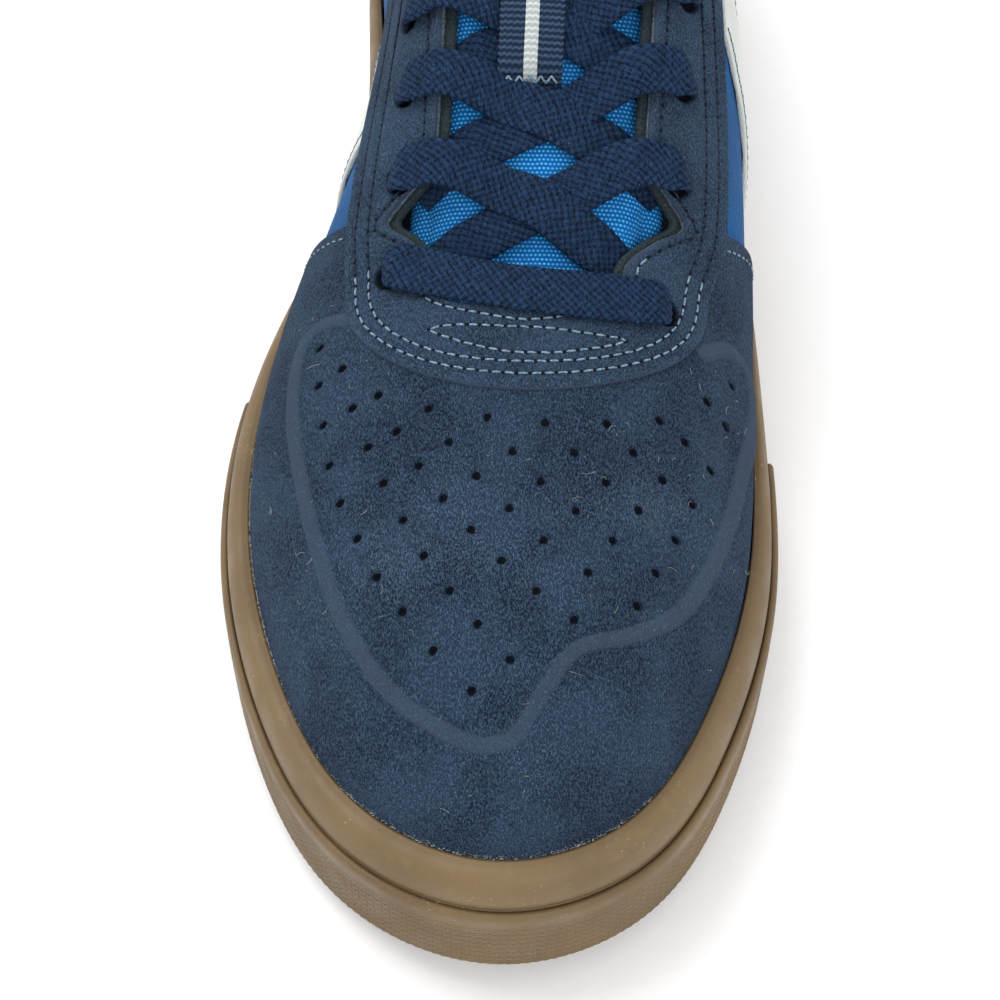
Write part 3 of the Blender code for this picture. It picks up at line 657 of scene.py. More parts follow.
def makeNapGroup():  # brushed suede fibres: fine speckle, short streaks, soft clouds
    tree, start, end = newGroup(
        "suedeNap",
        {"Vector": "Vector", "Fibre": "Float", "Cloud": "Float"},
        {"Shade": "Float", "Height": "Float"},
    )
    stretch = put(tree, "Mapping", {"Vector": start.outputs[0], "Rotation": (0.5, 0.3, 0.7)})
    stretch.inputs["Scale"].default_value = (1.0, 0.42, 0.8)
    size = maths(tree, "DIVIDE", 1.0, start.outputs["Fibre"])
    streak = noise(tree, stretch.outputs[0], size, 3.0)
    speck = noise(tree, start.outputs[0], maths(tree, "MULTIPLY", size, 2.3), 2.0)
    wide = maths(tree, "DIVIDE", 1.0, start.outputs["Cloud"])
    cloud = noise(tree, start.outputs[0], wide, 3.0)
    fine = ramp(tree, maths(tree, "ADD", streak, speck), 0.84, 1.16)
    soft = ramp(tree, cloud, 0.35, 0.65)
    shade = maths(tree, "MULTIPLY_ADD", fine, 0.78, maths(tree, "MULTIPLY", soft, 0.22))
    tree.links.new(shade, end.inputs["Shade"])
    tree.links.new(fine, end.inputs["Height"])
    return tree


def makeWeaveGroup():  # staggered floats of thread over a darker ground
    tree, start, end = newGroup(
        "clothWeave",
        {"Vector": "Vector", "Pitch": "Float", "Wide": "Float", "Tall": "Float"},
        {"Thread": "Float", "Height": "Float"},
    )
    parts = put(tree, "SeparateXYZ", {0: start.outputs["Vector"]})
    u = maths(tree, "DIVIDE", parts.outputs[0], start.outputs["Pitch"])
    v = maths(tree, "DIVIDE", parts.outputs[1], start.outputs["Pitch"])
    row = maths(tree, "FLOOR", v)
    shift = maths(tree, "MULTIPLY", maths(tree, "FLOORED_MODULO", row, 2.0), 0.5)
    across = maths(tree, "SUBTRACT", maths(tree, "FRACT", maths(tree, "ADD", u, shift)), 0.5)
    up = maths(tree, "SUBTRACT", maths(tree, "FRACT", v), 0.5)
    a = maths(tree, "POWER", maths(tree, "DIVIDE", across, start.outputs["Wide"]), 2.0)
    b = maths(tree, "POWER", maths(tree, "DIVIDE", up, start.outputs["Tall"]), 2.0)
    thread = maths(tree, "SUBTRACT", 1.0, maths(tree, "ADD", a, b))
    height = maths(tree, "MAXIMUM", thread, 0.0)
    tree.links.new(ramp(tree, thread, 0.0, 0.55), end.inputs["Thread"])
    tree.links.new(height, end.inputs["Height"])
    return tree


def makeDustGroup():  # sparse specks and soft smears of dust
    tree, start, end = newGroup(
        "paleDust",
        {"Vector": "Vector", "Speck": "Float", "Amount": "Float"},
        {"Mask": "Float"},
    )
    size = maths(tree, "DIVIDE", 1.0, start.outputs["Speck"])
    few = ramp(tree, noise(tree, start.outputs[0], size, 1.0), 0.68, 0.76)
    where = ramp(tree, noise(tree, start.outputs[0], 90.0, 3.0), 0.42, 0.70)
    mask = maths(tree, "MULTIPLY", maths(tree, "MULTIPLY", few, where), start.outputs["Amount"])
    tree.links.new(mask, end.inputs["Mask"])
    return tree


napGroup = makeNapGroup()
weaveGroup = makeWeaveGroup()
dustGroup = makeDustGroup()


def newMaterial(name, roughness, fixed):
    material = bpy.data.materials.new(name)
    material.use_nodes = True
    tree = material.node_tree
    shader = tree.nodes["Principled BSDF"]
    shader.inputs["Roughness"].default_value = roughness
    for key, value in fixed.items():
        shader.inputs[key].default_value = value
    place = put(tree, "TexCoord").outputs["Object"]
    return material, tree, shader, place


def addBump(tree, shader, height, depth, strength=1.0, under=None):
    inputs = {"Height": height, "Distance": depth, "Strength": strength}
    if under is not None:
        inputs["Normal"] = under
    bump = put(tree, "Bump", inputs).outputs[0]
    tree.links.new(bump, shader.inputs["Normal"])
    return bump


suedeLook = {
    "dark": (0.002, 0.006, 0.017),
    "light": (0.053, 0.096, 0.163),
    "scuff": (0.085, 0.135, 0.215),
    # pressed suede on the toe welt, and a painted highlight along the eyestay edge
    "pressedAndHighlight": (0.062, 0.092, 0.144),
    # painted shade: the dark inside of the punched holes and the eyelets
    "hole": (0.002, 0.004, 0.008),
    "fibre": 0.24 * mm,
    "cloud": 13 * mm,
}


def makeSuede(name, look, lighten=0.0):
    material, tree, shader, place = newMaterial(
        name, 0.95,
        {"Sheen Weight": 0.04, "Sheen Roughness": 0.45, "Sheen Tint": (0.60, 0.72, 0.95, 1),
         "Specular IOR Level": 0.08},
    )
    nap = useGroup(tree, napGroup, {"Vector": place, "Fibre": look["fibre"], "Cloud": look["cloud"]})
    shade = maths(tree, "ADD", nap.outputs["Shade"], lighten)
    colour = mixColour(tree, shade, look["dark"], look["light"])
    scuffed = maths(tree, "MULTIPLY", readMark(tree, "scuff"), noiseAt(tree, place, 5 * mm, 4))
    scuffed = maths(tree, "MULTIPLY", scuffed, ramp(tree, nap.outputs["Height"], 0.1, 0.8))
    colour = mixColour(tree, scuffed, colour, look["scuff"])
    # lighter pressed suede on the welt; along the eyestay edge a painted highlight
    pressedAndHighlight = ramp(tree, readMark(tree, "pressedAndHighlight"), 0.38, 0.64, 0.0, 0.62)
    colour = mixColour(tree, pressedAndHighlight, colour, look["pressedAndHighlight"])
    dust = useGroup(tree, dustGroup, {"Vector": place, "Speck": 0.35 * mm, "Amount": 0.35})
    colour = mixColour(tree, dust.outputs["Mask"], colour, (0.35, 0.42, 0.52))
    # painted shade: holes and eyelets darkened where the hole mark is set
    hole = ramp(tree, readMark(tree, "hole"), 0.42, 0.56)
    colour = mixColour(tree, hole, colour, look["hole"])
    tree.links.new(colour, shader.inputs["Base Color"])
    addBump(tree, shader, nap.outputs["Height"], 0.16 * mm)
    return material


def makeCloth(name, ground, thread, pitch, wide, tall, depth=0.14 * mm):
    fixed = {"Sheen Weight": 0.03, "Specular IOR Level": 0.10}
    material, tree, shader, place = newMaterial(name, 0.80, fixed)
    cloth = readMark(tree, "cloth", "Vector")
    wobble = put(tree, "TexNoise", {"Vector": place, "Scale": 300.0, "Detail": 1.0})
    inputs = {0: wobble.outputs["Color"], 1: (pitch * 0.35,) * 3}
    shift = put(tree, "VectorMath", inputs, operation="MULTIPLY").outputs[0]
    cloth = put(tree, "VectorMath", {0: cloth, 1: shift}).outputs[0]
    weave = useGroup(tree, weaveGroup, {"Vector": cloth, "Pitch": pitch, "Wide": wide, "Tall": tall})
    uneven = ramp(tree, noiseAt(tree, place, 1.2 * mm, 3), 0.2, 0.7, 0.5, 1.0)
    shade = maths(tree, "MULTIPLY", weave.outputs["Thread"], uneven)
    colour = mixColour(tree, shade, ground, thread)
    soft = ramp(tree, noiseAt(tree, place, 14 * mm, 3), 0.3, 0.7, 0.82, 1.08)
    value = put(tree, "HueSaturation", {"Value": soft, "Color": colour}).outputs[0]
    tree.links.new(value, shader.inputs["Base Color"])
    addBump(tree, shader, weave.outputs["Height"], depth)
    return material


gumLook = {
    "base": (0.156, 0.100, 0.043),
    "deep": (0.122, 0.077, 0.034),
    "pale": (0.250, 0.178, 0.096),
    # painted shade: colour laid into the gum's groove, knurl valleys, the crevice under the suede and
    # near the floor
    "paintedShade": (0.060, 0.042, 0.026),
}


def makeGum(name, look, roughness):
    material, tree, shader, place = newMaterial(
        name, roughness,
        {"Specular IOR Level": 0.35, "Subsurface Weight": 0.05,
         "Subsurface Radius": (1.0, 0.5, 0.2), "Subsurface Scale": 1.5 * mm},
    )
    clouds = ramp(tree, noiseAt(tree, place, 22 * mm, 4), 0.3, 0.7)
    colour = mixColour(tree, clouds, look["deep"], look["base"])
    rubbed = ramp(tree, noiseAt(tree, place, 3 * mm, 5, 0.65), 0.52, 0.80)
    colour = mixColour(tree, maths(tree, "MULTIPLY", rubbed, 0.35), colour, look["pale"])
    # wear on the toe knurl's crests, and a painted highlight along the top of the rim band
    wearAndHighlight = maths(tree, "MULTIPLY", readMark(tree, "wearAndHighlight"), 0.5)
    colour = mixColour(tree, wearAndHighlight, colour, look["pale"])
    dust = useGroup(tree, dustGroup, {"Vector": place, "Speck": 0.5 * mm, "Amount": 0.4})
    colour = mixColour(tree, dust.outputs["Mask"], colour, (0.55, 0.45, 0.32))
    # painted shade: the gum darkened where this mark is set
    colour = mixColour(tree, readMark(tree, "paintedShade"), colour, look["paintedShade"])
    tree.links.new(colour, shader.inputs["Base Color"])
    rough = ramp(tree, noiseAt(tree, place, 6 * mm, 3), 0.3, 0.7, roughness - 0.08, roughness + 0.12)
    tree.links.new(rough, shader.inputs["Roughness"])
    addBump(tree, shader, noiseAt(tree, place, 0.5 * mm, 3), 0.05 * mm)
    return material


def makeYarn(name, dark, light, size=0.35 * mm, depth=0.06 * mm, fleck=(0.10, 0.16, 0.26)):
    material, tree, shader, place = newMaterial(name, 0.85, {"Specular IOR Level": 0.12})
    fine = noiseAt(tree, place, size, 3, 0.6)
    # painted shade: the low places of the braid and ribs darkened by the crest mark, over their real
    # relief
    crest = ramp(tree, readMark(tree, "crest"), 0.25, 1.0, 0.06, 1.0)
    shade = maths(tree, "MULTIPLY", ramp(tree, fine, 0.30, 0.72, 0.45, 1.0), crest)
    colour = mixColour(tree, shade, dark, light)
    dust = useGroup(tree, dustGroup, {"Vector": place, "Speck": 0.28 * mm, "Amount": 0.8})
    colour = mixColour(tree, dust.outputs["Mask"], colour, fleck)
    tree.links.new(colour, shader.inputs["Base Color"])
    addBump(tree, shader, fine, depth)
    return material


def makeLeather(name, base, deep):
    material, tree, shader, place = newMaterial(name, 0.5, {"Specular IOR Level": 0.4})
    inputs = {"Vector": place, "Scale": 1 / (0.9 * mm)}
    cells = put(tree, "TexVoronoi", inputs, feature="DISTANCE_TO_EDGE")
    grain = ramp(tree, cells.outputs["Distance"], 0.0, 0.28)
    clouds = ramp(tree, noiseAt(tree, place, 12 * mm, 4), 0.35, 0.75)
    colour = mixColour(tree, maths(tree, "MULTIPLY", clouds, 0.6), base, deep)
    colour = mixColour(tree, ramp(tree, grain, 0.0, 1.0, 0.25, 0.0), colour, deep)
    tree.links.new(colour, shader.inputs["Base Color"])
    addBump(tree, shader, grain, 0.06 * mm)
    return material


def makePlain(name, base, deep, size, roughness, depth):
    material, tree, shader, place = newMaterial(name, roughness, {"Specular IOR Level": 0.2})
    shade = ramp(tree, noiseAt(tree, place, size, 4, 0.6), 0.3, 0.7)
    tree.links.new(mixColour(tree, shade, deep, base), shader.inputs["Base Color"])
    addBump(tree, shader, shade, depth)
    return material


suede = makeSuede("navySuede", suedeLook)
facingSuede = makeSuede("facingSuede", suedeLook, 0.10)
quarterCloth = makeCloth(
    "quarterCloth", (0.002, 0.050, 0.170), (0.010, 0.135, 0.360), 0.70 * mm, 0.56, 0.30
)
tongueCloth = makeCloth(
    "tongueCloth", (0.003, 0.115, 0.410), (0.110, 0.580, 1.000), 0.82 * mm, 0.40, 0.30
)
liningCloth = makeCloth("liningKnit", (0.010, 0.016, 0.030), (0.028, 0.045, 0.080), 0.8 * mm, 0.42, 0.40)
insoleCloth = makeCloth("insoleCloth", (0.012, 0.020, 0.040), (0.035, 0.055, 0.100), 0.9 * mm, 0.44, 0.36)
gum = makeGum("gumRubber", gumLook, 0.52)
laceYarn = makeYarn("laceBraid", (0.0006, 0.0025, 0.009), (0.017, 0.046, 0.110))
webbing = makeYarn("ribbedWebbing", (0.006, 0.014, 0.034), (0.055, 0.092, 0.160))
whiteTape = makeYarn("offWhiteTape", (0.30, 0.34, 0.34), (0.62, 0.66, 0.65), fleck=(0.7, 0.7, 0.7))
offWhite = makeLeather("offWhiteLeather", (0.60, 0.62, 0.58), (0.42, 0.45, 0.42))
paleThread = makePlain("paleThread", (0.30, 0.40, 0.51), (0.08, 0.14, 0.21), 0.45 * mm, 0.7, 0.10 * mm)
navyThread = makePlain(
    "navyThread", (0.022, 0.038, 0.075), (0.005, 0.010, 0.024), 0.4 * mm, 0.7, 0.08 * mm
)
rawEdge = makePlain("rawEdge", (0.034, 0.052, 0.058), (0.012, 0.021, 0.028), 0.5 * mm, 0.95, 0.10 * mm)
frayedEdge = makePlain(
    "frayedEdge", (0.21, 0.27, 0.32), (0.045, 0.070, 0.100), 0.6 * mm, 0.95, 0.12 * mm
)
# painted shade: colour of the dark discs at the needle holes
needleHoleShade = makePlain(
    "needleHoleShade", (0.004, 0.007, 0.014), (0.002, 0.004, 0.008), 0.5 * mm, 0.95, 0.02 * mm
)
edgeHair = makePlain("edgeHair", (0.55, 0.54, 0.46), (0.28, 0.29, 0.28), 0.4 * mm, 0.9, 0.02 * mm)
print("materials made")


# Gum sole

stationCount = 560


def soleStations(count=stationCount):
    return np.arange(count) / count


cup = {
    "groove": 0.36 * mm,
    "grooveHalf": 0.34 * mm,
    "rimPower": 2.25,
    "rimRows": 22,
    "wallRows": 14,
    "belly": 0.12 * mm,
    "tuck": 3.0 * mm,
    "crest": 0.45 * mm,
    "clear": 0.2 * mm,
}
lipRaise = table(
    "along lateral medial",
    (0.000, 0.90, 0.90),
    (0.060, 1.40, 1.10),
    (0.160, 1.30, 0.90),
    (0.260, 0.60, 0.20),
    (0.360, -0.30, -0.40),
    (0.460, -0.50, -0.50),
)


def lipHeight(q):
    point = loopAt(q)[0]
    s = alongOf(point[:, 1])
    lateral = smoothStep(-10 * mm, 10 * mm, point[:, 0])
    raised = readTable(lipRaise, "lateral", s) * lateral
    raised = raised + readTable(lipRaise, "medial", s) * (1 - lateral)
    return shoe["rimHeight"] + raised * mm


def makeCup():
    q = soleStations()
    foot = shoe["outsoleThick"] + gap
    wall = np.linspace(0, 1, cup["wallRows"])
    level = foot + (shoe["grooveHeight"] - cup["grooveHalf"] - foot) * wall
    columns = [insetPoint(q, -cup["belly"] * math.sin(math.pi * w), h)
               for w, h in zip(wall, level)]
    # painted shade: darker towards the foot of the wall, in the groove, along the lip crevice and on the
    # hidden tuck
    paintedShade = [0.25 * (1 - w) ** 3 for w in wall]
    for t in (-0.7, -0.4, -0.15, 0.15, 0.4, 0.7):
        deep = cup["groove"] * (1 - abs(t)) ** 0.8
        level = shoe["grooveHeight"] + t * cup["grooveHalf"]
        columns.append(insetPoint(q, deep, level))
        paintedShade.append(0.75 * (1 - abs(t)))
    shoulder = insetPoint(q, 0.0, shoe["grooveHeight"] + cup["grooveHalf"])
    thick = overlay["lift"] + overlay["rimShare"] * overlay["thick"] + cup["clear"]
    lip = shell(q, turnAtHeight(q, lipHeight(q)), thick)
    for k in range(cup["rimRows"]):
        angle = math.pi / 2 * (k / (cup["rimRows"] - 1)) ** 0.9
        inward = 1 - math.cos(angle) ** (2 / cup["rimPower"])
        up = math.sin(angle) ** (2 / cup["rimPower"])
        flat = shoulder[:, :2] + (lip[:, :2] - shoulder[:, :2]) * inward
        crest = cup["crest"] * math.sin(math.pi * min(inward * 1.15, 1.0))
        rise = shoulder[:, 2] + (lip[:, 2] - shoulder[:, 2]) * up + crest
        columns.append(np.column_stack([flat, rise]))
        # painted shade beside the groove's shoulder, and a painted shadow line at the lip where the suede
        # meets the rim
        paintedShade.append(0.25 * max(0.0, 1 - k / 2) + 0.80 * max(0.0, (inward - 0.93) * 14))
    low = shell(q, turnAtHeight(q, shoe["rimHeight"] - cup["tuck"]), thick)
    columns.append(low)
    columns.append(insetPoint(q, shoe["foxingThick"], foot + 8 * mm))
    columns.append(insetPoint(q, shoe["foxingThick"], foot))
    paintedShade += [0.6, 0.6, 0.3]
    sections = np.stack(columns, 1)
    piece = ring("cupWall", sections, [gum])
    mark(piece, "paintedShade", np.tile(paintedShade, len(q)))
    rim = shoe["rimHeight"]
    # painted highlight: the top of the rim band made paler
    mark(piece, "wearAndHighlight", smoothStep(rim * 0.8, rim * 1.1, sections[..., 2]).ravel() * 0.3)
    return seat(piece, "gum", "foxing")


overlay = {
    "lift": 0.3 * mm,
    "thick": 1.2 * mm,
    "facingThick": 2.1 * mm,
    "round": 0.35 * mm,
    "tuck": 2.0 * mm,
    "under": 1.2 * mm,
    "rimShare": 0.35,
    "taper": 8.0 * mm,
}

strip = {
    "ends": {+1: 0.331, -1: 0.376},
    "thick": 1.3 * mm,
    "lift": 1.2 * mm,
    "edge": 0.6 * mm,
    "columns": 900,
    "rows": 48,
    "topRound": 1.8 * mm,
    "knurl": 1.60 * mm,
    "knurlSlope": 1.60,
    "knurlDepth": 0.34 * mm,
    "smoothTop": 0.86,
}


def makeToeStrip():
    first = ribBeside(strip["ends"][-1], -1) - 1
    last = ribBeside(strip["ends"][+1], +1)
    q = np.linspace(first, last, strip["columns"])
    line = insetPoint(q, 0.0, 0.0)
    run = runLengths(line[:, :2])
    high = shoe["grooveHeight"] - gap
    low = [0, 0.004, 0.012]
    share = np.concatenate([low, np.linspace(0.03, 0.97, strip["rows"]), [0.988, 0.996, 1]])
    tall = high - strip["lift"]
    height = strip["lift"] + tall * share[:, None] + 0 * run[None, :]
    fromEdge = np.minimum(share, 1 - share)[:, None] * tall
    ends = np.minimum(run, run[-1] - run)[None, :]
    soft = rounded(np.minimum(fromEdge, ends), strip["edge"])
    fromTop = np.clip((1 - share)[:, None] * tall / strip["topRound"], 0, 1)
    soft = np.minimum(soft, 0.35 + 0.65 * np.sqrt(1 - (1 - fromTop) ** 2))
    a = (run[None, :] + height * strip["knurlSlope"]) / strip["knurl"]
    b = (run[None, :] - height * strip["knurlSlope"]) / strip["knurl"]
    cell = np.abs((a % 1) - 0.5) + np.abs((b % 1) - 0.5)
    front = 1 - smoothStep(0.10, 0.24, alongOf(line[:, 1]))[None, :]
    below = 1 - smoothStep(strip["smoothTop"] - 0.16, strip["smoothTop"], share)[:, None]
    inside = smoothStep(0.0, 0.6 * mm, fromEdge)
    pattern = strip["knurlDepth"] * (0.25 + 0.75 * front) * below * inside
    relief = pattern * (1 - cell * 1.4)
    outer = gap + strip["thick"] * soft + relief
    top = insetPoint(q[None, :] + 0 * share[:, None], -outer, height)
    low = insetPoint(q[None, :] + 0 * share[:, None], -0.5 * gap, height)
    piece = closedSheet("toeStrip", low, top, [gum])
    # painted shade in the knurl's valleys
    sheetMark(piece, "paintedShade", 0.55 * below * inside * smoothStep(0.35, 0.9, cell))
    sheetMark(piece, "wearAndHighlight", 0.80 * front * below * smoothStep(0.6, 0.1, cell) + 0 * run[None, :])
    return seat(piece, "gum", "toe_strip")


tread = {
    "depth": 2.2 * mm,
    "width": 2.6 * mm,
    "pitch": 15 * mm,
    "wave": 30 * mm,
    "swing": 4 * mm,
    "border": 9 * mm,
    "zones": ((0.085, 0.450), (0.730, 0.950)),
    "round": 2.0 * mm,
    "across": 72,
}


def grooveDepth(x, y):
    loopPoints, normals = loopAt(np.arange(dense) / dense)
    inner = loopPoints - normals * tread["border"]
    half = dense // 2
    depth = np.zeros(x.shape)
    for first, last in tread["zones"]:
        for row in range(int((last - first) * length / tread["pitch"]) + 1):
            middle = (first - 0.5) * length + row * tread["pitch"]
            right = np.interp(middle, inner[10:half - 10, 1], inner[10:half - 10, 0])
            left = np.interp(middle, inner[half + 10:-10, 1][::-1], inner[half + 10:-10, 0][::-1])
            steps = max(2, 2 * round((right - left) / tread["wave"]))
            t = (x - left) / (right - left) * steps
            zig = (0.5 - np.abs((t / 2) % 1 - 0.5) * 2) * -tread["swing"]
            away = np.abs(y - middle - zig)
            cut = 1 - smoothStep(tread["width"] / 2 - 0.25 * mm, tread["width"] / 2 + 0.35 * mm, away)
            cut = cut * smoothStep(0, 0.06, t) * smoothStep(0, 0.06, steps - t)
            depth = np.maximum(depth, cut * tread["depth"])
    return depth


def makeOutsole():
    count = stationCount
    q = soleStations()
    half = count // 2
    angles = np.linspace(0, math.pi / 2, 6)
    edge = [(tread["round"] * (1 - math.cos(a)), tread["round"] * (1 - math.sin(a))) for a in angles]
    upTop = insetPoint(q, 1.5 * mm, shoe["outsoleThick"])
    loops = [upTop, insetPoint(q, 0.0, shoe["outsoleThick"] - 0.3 * mm)]
    for inset, height in edge:
        ringPoints = insetPoint(q, inset, height)
        ringPoints[:, 2] += (1 - height / tread["round"]) * arch(ringPoints[:, 1])
        loops.append(ringPoints)
    loops = np.array(loops)
    base = loops[-1]
    quads = [gridQuads(len(loops), count, wrapColumns=True)]
    points = [loops.reshape(-1, 3)]
    across = tread["across"]
    share = np.linspace(0, 1, across + 1)[1:-1][:, None]
    inner = np.array([base[i] * (1 - share) + base[count - i] * share for i in range(1, half)])
    x, y = inner[..., 0], inner[..., 1]
    inner[..., 2] = spring(y) + arch(y) + grooveDepth(x, y)
    start = len(loops) * count
    lastRing = (len(loops) - 1) * count
    rows = half - 1
    middle = across - 1
    index = np.zeros((rows, across + 1), int)
    index[:, 0] = lastRing + np.arange(1, half)
    index[:, -1] = lastRing + count - np.arange(1, half)
    index[:, 1:-1] = start + np.arange(rows * middle).reshape(rows, middle)
    a, b, c, d = index[:-1, :-1], index[:-1, 1:], index[1:, 1:], index[1:, :-1]
    quads.append(np.stack([d, c, b, a], -1).reshape(-1, 4))
    points.append(inner.reshape(-1, 3))
    top, ends = loopCap(count)
    quads.append(top[:, ::-1])
    others = [face[::-1] for face in ends]
    others += [[lastRing] + list(index[0]), [lastRing + half] + list(index[-1])[::-1]]
    points = np.concatenate(points)
    piece = addMesh("outsoleTread", points, np.concatenate(quads), [gum], others)
    height = points[:, 2] - spring(points[:, 1])
    # painted shade: darker towards the floor
    mark(piece, "paintedShade", 0.30 * (1 - smoothStep(0.0, 3 * mm, height)))
    return seat(piece, "gum", "outsole")


makeCup()
makeToeStrip()
makeOutsole()
print("sole made")


# Upper

upperLook = {
    "rows": 34,
    "rowEase": 0.9,
    "lipRows": 9,
    "lipOut": 0.48,
    "insideRows": 24,
    "insideEase": 1.1,
    "stations": 500,
}


def wallAt(q, turn, end):
    s = alongRib(q)
    depth = bareShell(q, end)[..., 2] - bareShell(q, turn)[..., 2]
    back = smoothStep(shoe["facingEnd"] + 0.01, shoe["facingEnd"] + 0.07, s)
    pad = smoothStep(shoe["collarPadDepth"], 0.2 * shoe["collarPadDepth"], depth)
    return shoe["wall"] + shoe["collarPad"] * back * pad


def makeUpper():
    q = np.arange(upperLook["stations"]) / upperLook["stations"]
    end = edgeTurn(q)
    rows = upperLook["rows"]
    up = np.linspace(0, 1, rows) ** upperLook["rowEase"]
    outside = [shell(q, end * share) for share in up]
    down = np.linspace(1, 0, upperLook["insideRows"]) ** upperLook["insideEase"]
    inside = [shell(q, end * share, -wallAt(q, end * share, end)) for share in down]
    wall = wallAt(q, end, end)[:, None]
    ahead = unit(outside[-1] - outside[-3]) * upperLook["lipOut"] * wall
    middle = (outside[-1] + inside[0]) / 2
    half = (outside[-1] - inside[0]) / 2
    lip = []
    for k in range(1, upperLook["lipRows"]):
        angle = math.pi * k / upperLook["lipRows"]
        lip.append(middle + half * math.cos(angle) + ahead * math.sin(angle))
    inside[-1][:, 2] = outside[0][:, 2]
    sections = np.stack(outside + lip + inside, 1)
    count = sections.shape[1]
    cloth = np.zeros((*sections.shape[:2], 3))
    cloth[..., 0] = runLengths(shell(q, turnAtHeight(q, shoe["rimHeight"])))[:, None]
    cloth[..., 1] = runLengths(sections, 1)
    behind = alongOf(sections[:, 0, 1]) > shoe["facingEnd"] + 0.004
    column = np.zeros(count, int)
    column[rows + 1:] = 1
    faceFinish = np.tile(column, (len(q), 1))
    faceFinish[~behind, rows - 3:rows + upperLook["lipRows"] + 1] = 2
    piece = ring("upperShell", sections, [quarterCloth, liningCloth, rawEdge], faceFinish.ravel())
    mark(piece, "cloth", cloth.reshape(-1, 3))
    return seat(piece, "textile", "upper")


def makeInsole():
    count = 240
    q = np.arange(count) / count
    inset = upperInset + shoe["wall"] + 2 * gap
    rings = []
    for share in np.linspace(0, 1, 14):
        line = insetPoint(q, inset, upperFoot + shoe["insoleThick"])
        along = np.clip(alongOf(line[:, 1]), shoe["ridgeFront"], shoe["ridgeBack"])
        spine = np.column_stack([ridgeX(along), line[:, 1] * 0.96])
        flat = line[:, :2] * (1 - share) + spine * share
        cupped = 1.2 * mm * (1 - smoothStep(0.0, 0.35, share))
        height = spring(flat[:, 1]) + upperFoot + shoe["insoleThick"] + cupped
        rings.append(np.column_stack([flat, height]))
    bottom = insetPoint(q, inset, upperFoot)
    loops = np.array([bottom] + rings)
    top, topEnds = loopCap(count, (len(loops) - 1) * count)
    low, lowEnds = loopCap(count)
    quads = np.concatenate([gridQuads(len(loops), count, wrapColumns=True), top, low[:, ::-1]])
    others = topEnds + [face[::-1] for face in lowEnds]
    flat = loops.reshape(-1, 3)
    piece = addMesh("footbed", flat, quads, [insoleCloth], others)
    mark(piece, "cloth", np.column_stack([flat[:, 0], flat[:, 1], 0 * flat[:, 0]]))
    return seat(piece, "lining", "insole")


makeUpper()
makeInsole()
print("upper made")


# Suede toe

seams = {"foot": 0.465, "head": 0.425, "rows": 122, "columns": 545}

welt = {  # raised line round the toe panel, seen from above, in mm
    "line": (
        (-27.5, -41.5), (-33.0, -39.8), (-36.3, -42.0), (-37.5, -48.0), (-37.2, -60.0),
        (-34.4, -75.2), (-30.9, -88.4), (-26.4, -101.0), (-20.5, -112.3), (-13.6, -120.0),
        (-5.6, -125.0), (-1.2, -126.0), (3.0, -124.3), (7.9, -116.3), (13.2, -109.6),
        (21.5, -106.1), (29.5, -100.0), (35.8, -89.8), (41.0, -76.0), (44.2, -63.2),
        (47.3, -50.0), (46.8, -42.5), (43.8, -40.8), (40.3, -43.0), (36.6, -46.6),
    ),
    "half": 1.30 * mm,
    "height": 0.50 * mm,
    "sunk": 0.16 * mm,
    "troughIn": 2.9 * mm,
    "troughWide": 1.8 * mm,
}

perforations = {  # chains of punched holes: first, middle and last hole in mm, and how many
    "chains": (
        ((-32.9, -44.8), (-32.9, -44.8), (-32.9, -44.8), 1),
        ((-33.0, -53.3), (-24.8, -87.0), (-4.7, -117.0), 9),
        ((-28.7, -52.0), (-16.8, -85.1), (1.7, -112.0), 9),
        ((-21.8, -59.5), (-7.4, -85.2), (12.6, -104.5), 8),
        ((-12.6, -63.8), (1.4, -84.3), (23.1, -100.4), 7),
        ((-2.4, -66.4), (10.0, -81.7), (26.8, -93.1), 6),
        ((8.1, -67.4), (18.3, -78.2), (30.3, -85.8), 5),
        ((18.6, -66.9), (26.1, -73.5), (33.7, -77.7), 4),
        ((28.4, -63.9), (33.1, -66.1), (37.5, -69.0), 3),
        ((37.3, -55.9), (39.1, -57.0), (40.9, -58.0), 2),
        ((42.9, -47.9), (42.9, -47.9), (42.9, -47.9), 1),
    ),
    "radius": 0.80 * mm,
    "depth": 1.0 * mm,
    "jitter": 0.25,
    "dimple": 0.10 * mm,
    "dimpleWide": 1.9 * mm,
}

waves = {"height": 0.12 * mm, "across": 11 * mm, "along": 14 * mm}

scuffs = (  # hazy rubbed places on the toe: x, y, radius along x, radius along y, strength
    (-17.5, -93.0, 10, 7, 0.9),
    (-5.5, -91.0, 9, 6, 0.7),
    (-10.0, -83.0, 12, 5, 0.5),
    (28.0, -80.5, 10, 5, 0.7),
    (3.0, -96.0, 10, 5, 0.4),
    (-42.0, -85.0, 6, 8, 0.3),
    (14.0, -84.0, 14, 4, 0.3),
)


def holePlaces():
    places = []
    for first, middle, last, count in perforations["chains"]:
        first, middle, last = (np.array(p) for p in (first, middle, last))
        bow = middle - (first + last) / 2
        for k in range(count):
            t = k / max(count - 1, 1)
            shake = noiseRows.uniform(-1, 1, 2) * perforations["jitter"]
            places.append(first + (last - first) * t + bow * 4 * t * (1 - t) + shake)
    return np.array(places) * mm


